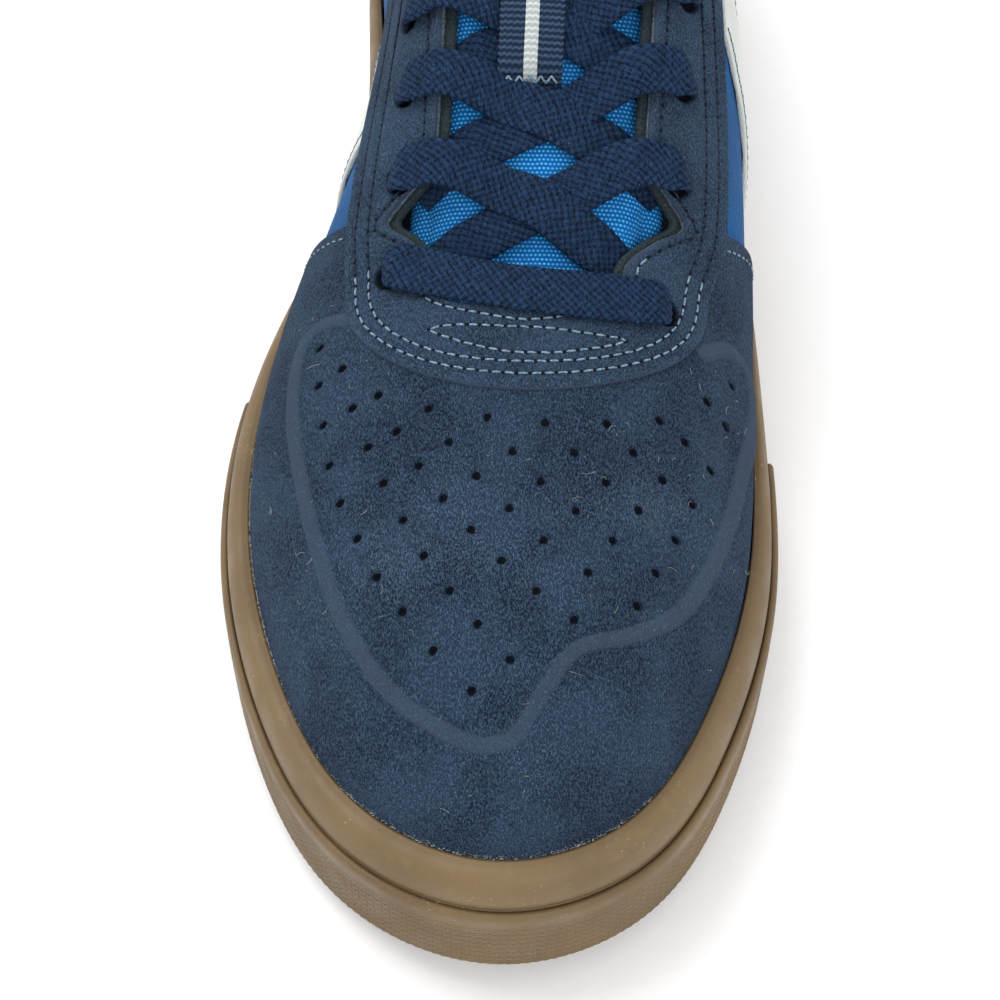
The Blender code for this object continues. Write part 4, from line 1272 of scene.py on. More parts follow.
def quarterSheet(name, firstEdge, lastEdge, rows, columns, low, high, thick, finishes, relief=None):
    # a panel between two slanted edges; low and high give its lowest and highest rib angles
    middleFirst, middleLast = firstEdge.mean(), lastEdge.mean()
    centre = evenShares(middleFirst, middleLast, lambda q: (low(q) + high(q)) / 2, columns)
    place = (centre - middleFirst) / (middleLast - middleFirst)
    ends = np.array([0, 0.0006, 0.0018])
    place = np.unique(np.concatenate([ends, place[(place > 0.004) & (place < 0.996)], 1 - ends]))
    lengths = np.linalg.norm(bareShell(centre, high(centre)) - bareShell(centre, low(centre)), axis=-1)
    down = edgedShares(np.full(len(place), np.median(lengths)), rows)
    first = firstEdge[0] + (firstEdge[1] - firstEdge[0]) * down
    last = lastEdge[0] + (lastEdge[1] - lastEdge[0]) * down
    q = first + (last - first) * place[None, :]
    turn = low(q) + (high(q) - low(q)) * down
    base = shell(q, turn)
    normal = shellNormal(q, turn)
    edge = edgeDistance(base)
    thin = smoothStep(overlay["tuck"], overlay["taper"], runLengths(base, 0))
    thick = thick * (overlay["rimShare"] + (1 - overlay["rimShare"]) * thin)
    offset = overlay["lift"] + thick * rounded(edge, overlay["round"])
    marks = {}
    if relief is not None:
        lifted, marks = relief(base)
        offset = offset + lifted * smoothStep(0, 0.8 * mm, edge)
    top = base + normal * offset[..., None]
    piece = closedSheet(name, base + normal * overlay["lift"], top, finishes)
    for key in ("scuff", "pressedAndHighlight", "hole"):
        sheetMark(piece, key, marks.get(key, 0 * edge))
    cloth = np.stack([runLengths(base, 1), runLengths(base, 0), 0 * edge], -1)
    sheetMark(piece, "cloth", cloth)
    return piece


def vampRelief(base):
    flat = base[..., :2]
    line = smoothThrough(np.array(welt["line"]) * mm, 420)
    away, which = nearest(flat, line)
    tangent = np.gradient(line, axis=0)
    arm = flat - line[which]
    inside = tangent[which][..., 0] * arm[..., 1] - tangent[which][..., 1] * arm[..., 0] > 0
    crest = smoothStep(1.35 * welt["half"], 0.45 * welt["half"], away)
    trough = bell(away - welt["troughIn"], welt["troughWide"]) * inside
    raised = welt["height"] * crest - welt["sunk"] * trough
    near, _ = nearest(flat, holePlaces())
    hole = 1 - smoothStep(perforations["radius"] * 0.72, perforations["radius"] * 1.15, near)
    raised = raised - perforations["depth"] * hole
    raised = raised - perforations["dimple"] * bell(near, perforations["dimpleWide"])
    x, y = flat[..., 0], flat[..., 1]
    soft = np.sin(x / waves["across"] + 1.3) * np.sin(y / waves["along"] + 0.4)
    raised = raised + waves["height"] * soft
    scuff = np.zeros(away.shape)
    for atX, atY, wide, tall, strength in scuffs:
        spot = bell(x / mm - atX, wide) * bell(y / mm - atY, tall)
        scuff = np.maximum(scuff, strength * spot)
    marks = {
        "scuff": scuff,
        "pressedAndHighlight": np.clip(1 - away / (2 * welt["half"]), 0, 1),
        # painted shade inside each punched hole
        "hole": np.clip(1 - near / (2 * perforations["radius"]), 0, 1),
    }
    return raised, marks


def rimTuck(q):
    return turnAtHeight(q, shoe["rimHeight"] - overlay["tuck"])


def underFacing(q):
    return turnAtGap(q, gapLeft(ribs(q), quarterLine(q)) - overlay["under"])


def makeVamp():
    along = np.array([seams["foot"], seams["head"]])
    size = seams["rows"], seams["columns"]
    piece = quarterSheet("toeVamp", ribBeside(along, -1) - 1, ribBeside(along, +1), *size,
                         rimTuck, underFacing, overlay["thick"], [suede], vampRelief)
    return seat(piece, "suede", "vamp")


makeVamp()
print("toe made")


# Eyestay

eyelets = {
    "rows": (0.377, 0.4355, 0.488, 0.538, 0.588, 0.636),
    "out": 25 * mm,
    "radius": 2.6 * mm,
    "depth": 1.5 * mm,
    "barShift": -2.3 * mm,
    "barSlant": 3.2 * mm,
    "barBow": -3.8 * mm,
}

facing = {
    "end": 0.642,
    "rows": 54,
    "columns": 560,
    "lip": 0.5 * mm,
    "outerRow": 2.1 * mm,
    "innerRow": 4.5 * mm,
    "throatRow": 2.4 * mm,
    "frontExtra": 1.1 * mm,
    "sink": 0.22 * mm,
    "sinkWide": 0.8 * mm,
    "round": 0.5 * mm,
    "dish": 0.25 * mm,
    "dishWide": 5 * mm,
    "puff": 0.08 * mm,
    "lens": (
        (-12.6, -48.6), (-7.5, -48.2), (-2.7, -48.6), (3.6, -49.0), (8.3, -49.1), (13.3, -49.6),
        (18.4, -49.8), (22.4, -49.9), (18.5, -51.9), (13.2, -53.4), (9.0, -54.1), (2.9, -54.1),
        (-0.1, -53.7), (-4.3, -52.6), (-8.7, -50.9),
    ),
}


def eyeletPlaces():
    places = []
    for row in eyelets["rows"]:
        for side in (-1, 1):
            x = side * eyelets["out"]
            y = (row - 0.5) * length
            if row == eyelets["rows"][0]:
                y += eyelets["barShift"] - side * eyelets["barSlant"]
            places.append((ridgeX(row) + x, y, overShell(alongOf(y), x, 0)))
    return np.array(places)


def ribEnds(along):  # the ribs at one place along the shoe, medial and lateral
    medial, lateral = (ribBeside(np.array([along]), side)[0] for side in (-1, +1))
    return medial - 1, lateral


def facingRow(inset, fromThroat=False):  # a line on the eyestay beside one of its edges
    q = np.linspace(*ribEnds(facing["end"] - 0.008), 1600)
    foot, head = ribs(q)[:2]
    arm = head[:, :2] - foot[:, :2]
    ahead = np.clip(arm[:, 1] / np.linalg.norm(arm, axis=1), 0, 1)
    inset = inset + facing["frontExtra"] * ahead**2
    level = throatGap(q) + inset if fromThroat else eyestayReach(q) - inset
    return q, turnAtGap(q, level)


def lensLine():
    flat = smoothThrough(np.array(facing["lens"]) * mm, 300, closed=True)
    flat = np.concatenate([flat, flat[:1]])
    found = [ribThrough(x, y) for x, y in flat]
    q = np.array([f[0] for f in found])
    return q, turnAtGap(q, np.array([f[1] for f in found]))


def makeEyestay():
    def inner(q):
        return turnAtGap(q, throatGap(q) + facing["lip"])

    ends = ribEnds(facing["end"])
    q = evenShares(*ends, lambda q: (quarterLine(q) + inner(q)) / 2, facing["columns"])
    fine = np.array([0, 4e-5, 1.2e-4])
    q = np.concatenate([q[0] + fine, q[1:-1], q[-1] - fine[::-1]])
    low = quarterLine(q)
    high = inner(q)
    width = np.linalg.norm(shell(q, high) - shell(q, low), axis=-1)
    down = edgedShares(width, facing["rows"])
    q = np.broadcast_to(q, down.shape)
    turn = low + (high - low) * down
    base = shell(q, turn)
    normal = shellNormal(q, turn)
    edge = edgeDistance(base)
    offset = overlay["lift"] + overlay["facingThick"] * rounded(edge, facing["round"])
    rows = [facingRow(facing["outerRow"]), facingRow(facing["innerRow"]),
            facingRow(facing["throatRow"], True), lensLine()]
    lines = np.concatenate([shell(*row) for row in rows])
    near, _ = nearest(base, lines)
    offset = offset - facing["sink"] * bell(near, facing["sinkWide"])
    away, _ = nearest(base, eyeletPlaces())
    hole = 1 - smoothStep(eyelets["radius"] * 0.8, eyelets["radius"] * 1.1, away)
    offset = offset - eyelets["depth"] * hole - facing["dish"] * bell(away, facing["dishWide"])
    puff = np.sin(base[..., 1] / (7 * mm)) * np.sin(base[..., 0] / (9 * mm))
    offset = offset + facing["puff"] * puff * smoothStep(0, 2 * mm, edge)
    piece = closedSheet("laceFacing", base + normal * overlay["lift"],
                        base + normal * offset[..., None], [facingSuede, frayedEdge])
    # painted shade at each eyelet, under the lace end
    sheetMark(piece, "hole", np.clip(1 - away / (2 * eyelets["radius"]), 0, 1))
    # a pale ring along the eyestay edge: the pale cut edge and a painted highlight on its rounded rim
    sheetMark(piece, "pressedAndHighlight", np.clip(1 - edge / (0.6 * mm), 0, 1))
    sheetMark(piece, "scuff", 0.7 * bell(edge, 0.9 * mm))
    seat(piece, "suede", "eyestay")
    return rows


facingRows = makeEyestay()
print("eyestay made")


# Side bands and heel counter

bands = table("side foot head", (+1, 0.495, 0.548), (-1, 0.500, 0.498))
bandLook = {"width": 27 * mm, "thick": 0.9 * mm, "bare": 1.9 * mm, "rows": 60, "columns": 50}
counter = {"foot": 0.745, "head": 0.860, "rows": 50, "columns": 200}


def belowFacing(q):  # leaves a bare line of cloth under the eyestay
    return turnAtGap(q, gapLeft(ribs(q), quarterLine(q)) + bandLook["bare"])


bandTops = {+1: belowFacing, -1: underFacing}


def makeBands():
    for side, foot, head in zip(bands["side"], bands["foot"], bands["head"]):
        wide = bandLook["width"] / length
        front = ribBeside(np.array([foot, head]), side)
        back = ribBeside(np.array([foot, head]) + wide, side)
        first, last = (front, back) if side > 0 else (back, front)
        name = "lateral" if side > 0 else "medial"
        size = bandLook["rows"], bandLook["columns"]
        piece = quarterSheet("sideBand_" + name, first, last, *size, rimTuck, bandTops[side],
                             bandLook["thick"], [offWhite])
        seat(piece, "off_white", "side_band_" + name)


def makeCounter():
    along = np.array([counter["foot"], counter["head"]])
    size = counter["rows"], counter["columns"]
    piece = quarterSheet("heelCounter", ribBeside(along, +1), ribBeside(along, -1), *size,
                         rimTuck, quarterLine, overlay["thick"], [suede])
    return seat(piece, "suede", "heel_counter")


makeBands()
makeCounter()
print("bands and counter made")


# Tongue

tongue = {
    "rise": 24 * mm,
    "thick": 4.6 * mm,
    "drop": 2.6 * mm,
    "coarse": (22, 13),
    "fine": (170, 76),
    "puff": 0.5 * mm,
    "seamDepth": 0.5 * mm,
    "seamIn": 4.5 * mm,
    "seamWide": 0.9 * mm,
    "edgeDrop": 0.6 * mm,
    "edgeRound": 2.5 * mm,
    "stations": table(
        "along rise halfWidth",
        (0.335, 0.00, 0.60),
        (0.360, 0.00, 0.66),
        (0.400, 0.00, 0.72),
        (0.480, 0.00, 0.74),
        (0.560, 0.00, 0.74),
        (0.640, 0.00, 0.60),
        (0.662, 0.25, 0.56),
        (0.682, 0.64, 0.74),
        (0.696, 0.88, 0.84),
        (0.704, 1.00, 0.78),
    ),
}
lace = {
    "width": 9.0 * mm,
    "thick": 1.7 * mm,
    "braid": 1.60 * mm,
    "braidDepth": 0.38 * mm,
    "braidShake": 0.10,
    "step": 0.26 * mm,
    "seat": 0.25 * mm,
    "under": 23 * mm,
    "bow": (3.5 * mm, 1.6 * mm, 1.0 * mm, 0.6 * mm, 0.6 * mm),
    "aboveTongue": 1.3 * mm,
    "tuckRun": 7 * mm,
    "dive": (25, 55, 85, 105, 110, 110),
    "diveStep": 1.0 * mm,
}


def facingHeight(along):
    total = 0
    for side in (+1, -1):
        q = ribBeside(along, side)
        total = total + bareShell(q, turnAtGap(q, 0.5 * shoe["throatWidth"]))[..., 2] / 2
    return total


def tongueTop(along, x):
    edge = 0.5 * shoe["throatWidth"]
    drop = 0.30 * mm * (x / mm / 10) ** 2 + 0.55 * np.clip(np.abs(x) - edge, 0, None)
    front = (shoe["ridgeFront"] - np.minimum(along, shoe["ridgeFront"])) * length
    deck = facingHeight(np.maximum(along, shoe["ridgeFront"])) - tongue["drop"]
    return deck - drop - 0.22 * front


def insideFacing(along, x):  # height of the upper's inner face
    return overShell(along, x, -shoe["wall"] - gap)


def makeTongue():
    rows, count = tongue["coarse"]
    stations = tongue["stations"]
    along = np.linspace(stations["along"][0], stations["along"][-1], rows)
    a = np.linspace(-1, 1, count)
    top = np.zeros((rows, count, 3))
    for r, here in enumerate(along):
        rise = float(readTable(stations, "rise", here)) * tongue["rise"]
        wide = float(readTable(stations, "halfWidth", here)) * shoe["eyestayWidth"]
        for c, out in enumerate(a * wide):
            height = float(tongueTop(np.array(here), out))
            tucked = abs(out) > 0.5 * shoe["throatWidth"] - shoe["wall"]
            if tucked and here < shoe["facingEnd"] + 0.01 or here < shoe["ridgeFront"]:
                room = lace["thick"] + 0.6 * mm if abs(out) > 13 * mm else 1.0 * mm
                height = min(height, insideFacing(here, out) - room)
            top[r, c] = (ridgeX(here) + out, (here - 0.5) * length, height + rise)
    rows, count = tongue["fine"]
    top = smoothThrough(top, rows)
    top = smoothThrough(top.swapaxes(0, 1), count).swapaxes(0, 1)
    a = np.linspace(-1, 1, count)
    downward = np.gradient(top, axis=0)
    across = np.gradient(top, axis=1)
    normal = unit(np.cross(across, downward))
    edge = edgeDistance(top)
    puff = tongue["puff"] * smoothStep(1 * mm, 9 * mm, edge)
    puff = puff - tongue["seamDepth"] * bell(edge - tongue["seamIn"], tongue["seamWide"])
    puff = puff - tongue["edgeDrop"] * (1 - smoothStep(0, 1.5 * mm, edge))
    upper = top + normal * puff[..., None]
    thick = tongue["thick"] * (1 - 0.55 * np.abs(a) ** 3) * rounded(edge, tongue["edgeRound"])
    low = top - normal * thick[..., None]
    piece = closedSheet("paddedTongue", low, upper, [tongueCloth])
    sheetMark(piece, "cloth", np.stack([runLengths(upper, 1), runLengths(upper, 0), 0 * edge], -1))
    seat(piece, "textile", "tongue")


makeTongue()
print("tongue made")


# Laces

def braidHeight(u, v):  # plaited cells, each thread over one and under the next
    shake = lace["braidShake"] * np.sin(u / (2.3 * mm) + 3 * np.sin(v / (1.9 * mm)))
    a = (u + v) / lace["braid"] + shake
    b = (u - v) / lace["braid"] + lace["braidShake"] * np.sin(v / (1.7 * mm) - u / (3.1 * mm))
    fa = a % 1 - 0.5
    fb = b % 1 - 0.5
    even = (np.floor(a) + np.floor(b)) % 2 < 1
    over = np.sqrt(np.clip(1 - (2 * fb) ** 2, 0, 1)) * (1 - 0.9 * fa**2)
    under = np.sqrt(np.clip(1 - (2 * fa) ** 2, 0, 1)) * (1 - 0.9 * fb**2)
    cell = np.sin(np.floor(a) * 12.9898 + np.floor(b) * 78.233) * 4375.85
    return np.where(even, over, under) * (0.74 + 0.26 * (cell % 1))


def flatSection(columns, width, thick, power=3.2):  # half width and height round a flat strap
    angle = np.linspace(0, 2 * math.pi, columns, endpoint=False)
    x = np.sign(np.cos(angle)) * np.abs(np.cos(angle)) ** (2 / power) * width / 2
    z = np.sign(np.sin(angle)) * np.abs(np.sin(angle)) ** (2 / power) * thick / 2
    line = np.column_stack([x, z])
    closed = np.concatenate([line, line[:1]])
    run = runLengths(closed)
    above = columns * 3 // 4  # more columns on the side that is seen
    wanted = np.concatenate([
        np.linspace(0, run[-1] / 2, above, endpoint=False),
        np.linspace(run[-1] / 2, run[-1], columns - above, endpoint=False),
    ])
    return np.stack([np.interp(wanted, run, closed[:, k]) for k in range(2)], -1)


def strap(name, path, across, widths, thick, finishes, columns=44, relief=braidHeight, depth=None):
    depth = lace["braidDepth"] if depth is None else depth
    run = runLengths(path)
    tangent = unit(np.gradient(path, axis=0))
    across = unit(across - tangent * (across * tangent).sum(1, keepdims=True))
    up = np.cross(across, tangent)
    up = up * np.where(up[len(up) // 2, 2] < 0, -1, 1)
    section = flatSection(columns, 1.0, 1.0)
    outward = unit(np.column_stack([section[:, 0] * 0.3, section[:, 1]]))
    u = run[:, None] + 0 * section[None, :, 0]
    v = section[None, :, 0] * widths[:, None]
    under = (section[:, 1] < 0)[None, :]
    h = relief(u, np.where(under, v + 0.6 * mm, v))
    shift = (h - 0.6) * depth
    side = v + outward[None, :, 0] * shift
    lift = section[None, :, 1] * thick + outward[None, :, 1] * shift + thick / 2
    points = path[:, None] + across[:, None] * side[..., None] + up[:, None] * lift[..., None]
    piece = rod(name, points, finishes)
    # the crest mark also paints shade into the strap's low places
    mark(piece, "crest", h.ravel())
    return piece


def withDive(path, across):  # bends the end of a lace down into its eyelet
    ahead = unit(path[-1] - path[-2])
    down = unit(np.array([0, 0.25, -1.0]))
    extra = []
    last = path[-1]
    for angle in lace["dive"]:
        turn = math.radians(angle)
        last = last + (ahead * math.cos(turn) + down * math.sin(turn)) * lace["diveStep"]
        extra.append(last)
    held = np.repeat(across[-1:], len(extra), 0)
    return np.concatenate([path, extra]), np.concatenate([across, held])


def laceWidths(path, dives):
    run = runLengths(path)
    widths = np.full(len(path), lace["width"])
    widths = widths * (1 + 0.035 * np.sin(run / (6.5 * mm) + run[-1] * 900))
    for end, dive in zip((run, run[-1] - run), dives):
        if dive:
            widths = widths * (0.50 + 0.50 * smoothStep(0, 7.5 * mm, end))
    return widths


def layLace(name, path, across, dives, node):
    path = respace(smoothThrough(np.column_stack([path, across]), 600), lace["step"])
    path, across = path[:, :3], path[:, 3:]
    piece = strap(name, path, across, laceWidths(path, dives), lace["thick"], [laceYarn])
    seat(piece, "lace", node)


def deckSlope(along):
    step = 0.02
    return (facingHeight(along + step) - facingHeight(along - step)) / (2 * step * length)


def seatOver(row, out, half):
    beside = np.sign(out + 1e-6) * max(abs(out), shoe["throatFront"])
    seats = [overShell(row + shift * half, beside, overlay["lift"] + overlay["facingThick"])
             for shift in (-1, 0, 1)]
    return max(seats[1], (seats[0] + seats[2]) / 2), (seats[2] - seats[0]) / lace["width"]


def makeBar():
    row = eyelets["rows"][0]
    half = lace["width"] / 2 / length
    reach = eyelets["out"] - 1.2 * mm
    outs = np.linspace(-reach, reach, 15)
    share = outs / reach
    y = (row - 0.5) * length + eyelets["barShift"] - eyelets["barSlant"] * share
    y = y + eyelets["barBow"] * (1 - share**2)
    heights = np.array([seatOver(alongOf(here), out, half)[0] for here, out in zip(y, outs)])
    for _ in range(3):
        heights[1:-1] = (heights[:-2] + heights[1:-1] + heights[2:]) / 3
    bow = 0.4 * mm * np.cos(share * math.pi / 2)
    path = np.column_stack([ridgeX(row) + outs, y, heights + lace["seat"] + bow])
    across = np.tile((0.0, 1.0, 0.24), (len(path), 1))
    path, across = withDive(path, across)
    path, across = withDive(path[::-1], across[::-1])
    layLace("laceBar", path, across, (True, True), "lace_bar_1")


def makeStrand(row, side, layer):
    start, end = eyelets["rows"][row], eyelets["rows"][row + 1]
    edge = 0.5 * shoe["throatWidth"]
    half = lace["width"] / 2 / length
    path = []
    across = []
    for out in np.linspace(-lace["under"], eyelets["out"], 19):
        share = (out + eyelets["out"]) / (2 * eyelets["out"])
        bow = lace["bow"][row] * math.sin(math.pi * max(share, 0) ** 1.3)
        here = start + (end - start) * share + bow / length
        floor = float(tongueTop(np.array(here), side * out)) + lace["aboveTongue"]
        if out < -edge + lace["tuckRun"]:
            hidden = insideFacing(here, side * min(out, -edge)) - lace["thick"] - 0.2 * mm
            tuck = float(smoothStep(-edge + lace["tuckRun"], -edge, out))
            floor = floor + (min(hidden, floor) - floor) * tuck
        over, tilt = seatOver(here, side * max(out, edge), half)
        up = float(smoothStep(0.22 * edge, 0.92 * edge, out))
        hump = layer * lace["thick"] * float(bell(share - 0.5, 0.15))
        height = floor + (over + lace["seat"] - floor) * up + hump
        path.append((ridgeX(here) + side * out, (here - 0.5) * length, height))
        slope = float(deckSlope(here)) * (1 - up) + tilt * up
        run = np.array([side * 2 * eyelets["out"], (end - start) * length, 0.0])
        normal = np.array([0.0, -slope, 1.0])
        across.append(np.cross(normal, run) / np.linalg.norm(run))
    path, across = withDive(np.array(path), np.array(across))
    name = f"laceRun_{row + 1}_" + ("over" if layer else "under")
    layLace(name, path, across, (False, True), f"lace_crossing_{row + 1}")


makeBar()
for row in range(len(eyelets["rows"]) - 1):
    makeStrand(row, +1, 0)
    makeStrand(row, -1, 1)
print("laces made")


# Webbing loop on the tongue

keeper = {
    "stations": table(
        "along lift",
        (0.4880, 0.05),
        (0.4893, 0.45),
        (0.4925, 0.95),
        (0.5130, 1.15),
        (0.5335, 0.95),
        (0.5367, 0.45),
        (0.5380, 0.05),
    ),
    "lift": 4.2 * mm,
    "width": 12 * mm,
    "thick": 1.3 * mm,
    "lineWidth": 2.6 * mm,
    "lineThick": 0.35 * mm,
    "stitches": 11,
    "rib": 1.15 * mm,
    "ribDepth": 0.26 * mm,
    "shift": -3.0 * mm,
}


def ribHeight(u, v):
    wave = 0.12 * np.cos(2 * math.pi * v / (1.1 * mm))
    return 0.5 + 0.5 * np.cos(2 * math.pi * (u / keeper["rib"] + wave))


def makeKeeper():
    along = keeper["stations"]["along"]
    height = tongueTop(along, 0 * along) + keeper["stations"]["lift"] * keeper["lift"] + 2 * gap
    path = np.column_stack([ridgeX(along) + keeper["shift"], (along - 0.5) * length, height])
    path = respace(smoothThrough(path, 400), 0.25 * mm)
    across = np.tile((1.0, 0.0, 0.0), (len(path), 1))
    widths = np.full(len(path), keeper["width"])
    piece = strap("keeperWebbing", path, across, widths, keeper["thick"], [webbing], 64, ribHeight,
                  keeper["ribDepth"])
    seat(piece, "webbing", "lace_keeper")
    tangent = np.gradient(path, axis=0)
    up = unit(np.cross(across, tangent))
    up = up * np.sign(up[len(up) // 2, 2])
    line = path + up * (keeper["thick"] * 0.93)
    widths = np.full(len(line), keeper["lineWidth"])
    tape = strap("keeperLine", line, across, widths, keeper["lineThick"], [whiteTape],
                 16, ribHeight, 0.05 * mm)
    seat(tape, "off_white")
    zigzag = []
    for k in range(keeper["stitches"]):
        row = 5 + 7 * (k % 2)
        lift = keeper["thick"] + 0.25 * mm
        zigzag.append(path[row] + up[row] * lift + across[row] * (k - keeper["stitches"] // 2) * mm)
    zigzag = respace(np.array(zigzag), 0.2 * mm)
    ahead = np.gradient(zigzag, axis=0)
    level = np.cross(up[8], ahead)
    widths = np.full(len(zigzag), 0.45 * mm)
    thread = strap("keeperZigzag", zigzag, level, widths, 0.4 * mm, [paleThread], 8, ribHeight, 0.0)
    seat(thread, "webbing")


makeKeeper()
print("keeper made")


# Stitching

stitchLook = {
    "pitch": 2.35 * mm,
    "stitch": 1.85 * mm,
    "thick": 0.44 * mm,
    "hump": 0.12 * mm,
    "paleEnd": -33 * mm,
    "firstRow": 2.0 * mm,
    "secondRow": 4.4 * mm,
    "bandRow": 1.8 * mm,
    "collarRow": 4.5 * mm,
    # sizes of the needle holes' dark discs of painted shade
    "hole": ((-0.25 * mm, 0.26 * mm), (0.10 * mm, 0.34 * mm)),
    "holeSides": 6,
}


def stitchSolids(rows, look):  # thread humps and needle holes along lines with normals; the holes become dark discs of painted shade
    sides = 6
    parts = 5
    thread = []
    holes = []
    for points, normals in rows:
        run = runLengths(points)
        both = np.column_stack([points, normals])
        total = max(1, round(run[-1] / look["pitch"]))
        for k in range(total):
            middle = (k + 0.5) * run[-1] / total + random.uniform(-0.1, 0.1) * mm
            reach = look["stitch"] / 2 * random.uniform(0.92, 1.06)
            ends = [np.array([np.interp(middle + e, run, both[:, j]) for j in range(6)])
                    for e in (-reach, reach)]
            a, b = (e[:3] for e in ends)
            normal = unit(ends[0][3:])
            ahead = unit(b - a)
            across = np.cross(normal, ahead)
            lean = across * random.uniform(-0.10, 0.10) * mm
            for t in np.linspace(0, 1, parts):
                crest = math.sin(math.pi * t)
                lift = normal * (look["hump"] * crest - 0.04 * mm)
                centre = a + (b - a) * t + lift + lean * (2 * t - 1)
                radius = look["thick"] / 2 * (0.55 + 0.45 * crest**0.5)
                for j in range(sides):
                    angle = 2 * math.pi * j / sides
                    spoke = across * math.cos(angle) + normal * math.sin(angle)
                    thread.append(centre + spoke * radius)
            past = ahead * 0.22 * mm
            holes += [(a - past, normal, across, ahead), (b + past, normal, across, ahead)]
    return np.array(thread), holes, sides, parts


def addStitches(name, rows, finish, slot, look=stitchLook):
    thread, holes, sides, parts = stitchSolids(rows, look)
    each = sides * parts
    count = len(thread) // each
    quads = [gridQuads(parts, sides, wrapColumns=True, start=k * each) for k in range(count)]
    others = []
    for k in range(count):
        others.append([k * each + j for j in range(sides)][::-1])
        others.append([k * each + (parts - 1) * sides + j for j in range(sides)])
    seat(addMesh(name, thread, np.concatenate(quads), [finish], others), slot)
    # dark discs at the needle holes: painted shade
    points = []
    faces = []
    around = look["holeSides"]
    for centre, normal, across, ahead in holes:
        faces.append(len(points))
        for level, radius in look["hole"]:
            for j in range(around):
                angle = 2 * math.pi * j / around
                flat = across * math.cos(angle) + ahead * math.sin(angle)
                points.append(centre + flat * radius + normal * level)
    quads = np.concatenate([gridQuads(2, around, wrapColumns=True, start=s) for s in faces])
    caps = []
    for s in faces:
        caps += [list(range(s, s + around))[::-1], list(range(s + around, s + 2 * around))]
    seat(addMesh(name + "Holes", np.array(points), quads, [needleHoleShade], caps), slot)


def onShell(q, turn, height):
    return shell(q, turn, height), shellNormal(q, turn)


def panelRow(along, side, inset, thick=overlay["thick"], head=quarterLine):
    # a row beside a panel's slanted edge, inset along the shoe
    share = np.linspace(0.06, 0.97, 200)
    q = ribBeside(along[0] + (along[1] - along[0]) * share + inset / length, side)
    turn = rimTuck(q) + (head(q) - rimTuck(q)) * share
    return onShell(q, turn, overlay["lift"] + thick)


def makeStitching():
    top = overlay["lift"] + overlay["facingThick"] - facing["sink"]
    front = []
    sides = []
    for q, turn in facingRows:
        points, normals = onShell(q, turn, top)
        pale = points[:, 1] < stitchLook["paleEnd"]
        cuts = np.flatnonzero(np.diff(pale.astype(int))) + 1
        for a, b in zip([0, *cuts], [*cuts, len(pale)]):
            (front if pale[a] else sides).append((points[a:b], normals[a:b]))
    addStitches("facingStitches", front, paleThread, "suede")
    addStitches("facingSideStitches", sides, navyThread, "suede")
    seam = (seams["foot"], seams["head"])
    rows = [panelRow(seam, side, -stitchLook["firstRow"]) for side in (+1, -1)]
    addStitches("vampStitches", rows, paleThread, "suede")
    rows = []
    for side, foot, head in zip(bands["side"], bands["foot"], bands["head"]):
        for inset in (stitchLook["bandRow"], bandLook["width"] - stitchLook["bandRow"]):
            rows.append(panelRow((foot, head), side, inset, bandLook["thick"], bandTops[side]))
    addStitches("bandStitches", rows, paleThread, "off_white")
    rows = []
    front = (counter["foot"], counter["head"])
    slide = 0.02
    for inset in (stitchLook["firstRow"], stitchLook["secondRow"]):
        rows += [panelRow(front, side, inset) for side in (+1, -1)]
        along = np.array([counter["head"] + inset / length])
        q = np.linspace(*(ribBeside(along, side)[0] for side in (+1, -1)), 500)
        turn = quarterLine(q)
        line = shell(q, turn)
        for _ in range(2):
            there = shell(q, turn - slide)
            turn = turn - slide * inset / np.linalg.norm(there - line, axis=1) / 2
        rows.append(onShell(q, turn, overlay["lift"] + overlay["thick"]))
    addStitches("counterStitches", rows, paleThread, "suede")
    ends = [ribBeside(np.array([shoe["facingEnd"] + 0.02]), side)[0] for side in (+1, -1)]
    q = np.linspace(*ends, 900)
    turn = edgeTurn(q)
    step = 0.03
    fall = np.linalg.norm(shell(q, turn) - shell(q, turn - step), axis=1)
    turn = turn - step * stitchLook["collarRow"] / fall
    addStitches("collarStitches", [onShell(q, turn, 0.0)], navyThread, "textile")


makeStitching()
print("stitching made")


# Frayed suede fibres where the toe meets the gum rim

fray = {
    "count": 1500,
    "first": 0.72,
    "last": 1.06,
    "length": (0.18 * mm, 0.70 * mm),
    "thick": 0.06 * mm,
}
lint = {"count": 70, "length": (0.8 * mm, 4.0 * mm), "thick": 0.028 * mm, "steps": 9}


def addFibres(name, fibres):  # three-sided hairs: middles, sideways, normals and half widths
    points = []
    quads = []
    caps = []
    for fibre in fibres:
        start = len(points)
        for centre, across, normal, width in fibre:
            for x, z in ((-1, -1), (1, -1), (0, 1)):
                points.append(centre + (across * x + normal * z) * width)
        quads.append(gridQuads(len(fibre), 3, wrapColumns=True, start=start))
        last = len(points) - 3
        caps += [[start + 2, start + 1, start], [last, last + 1, last + 2]]
    piece = addMesh(name, np.array(points), np.concatenate(quads), [edgeHair], caps)
    seat(piece, "suede")


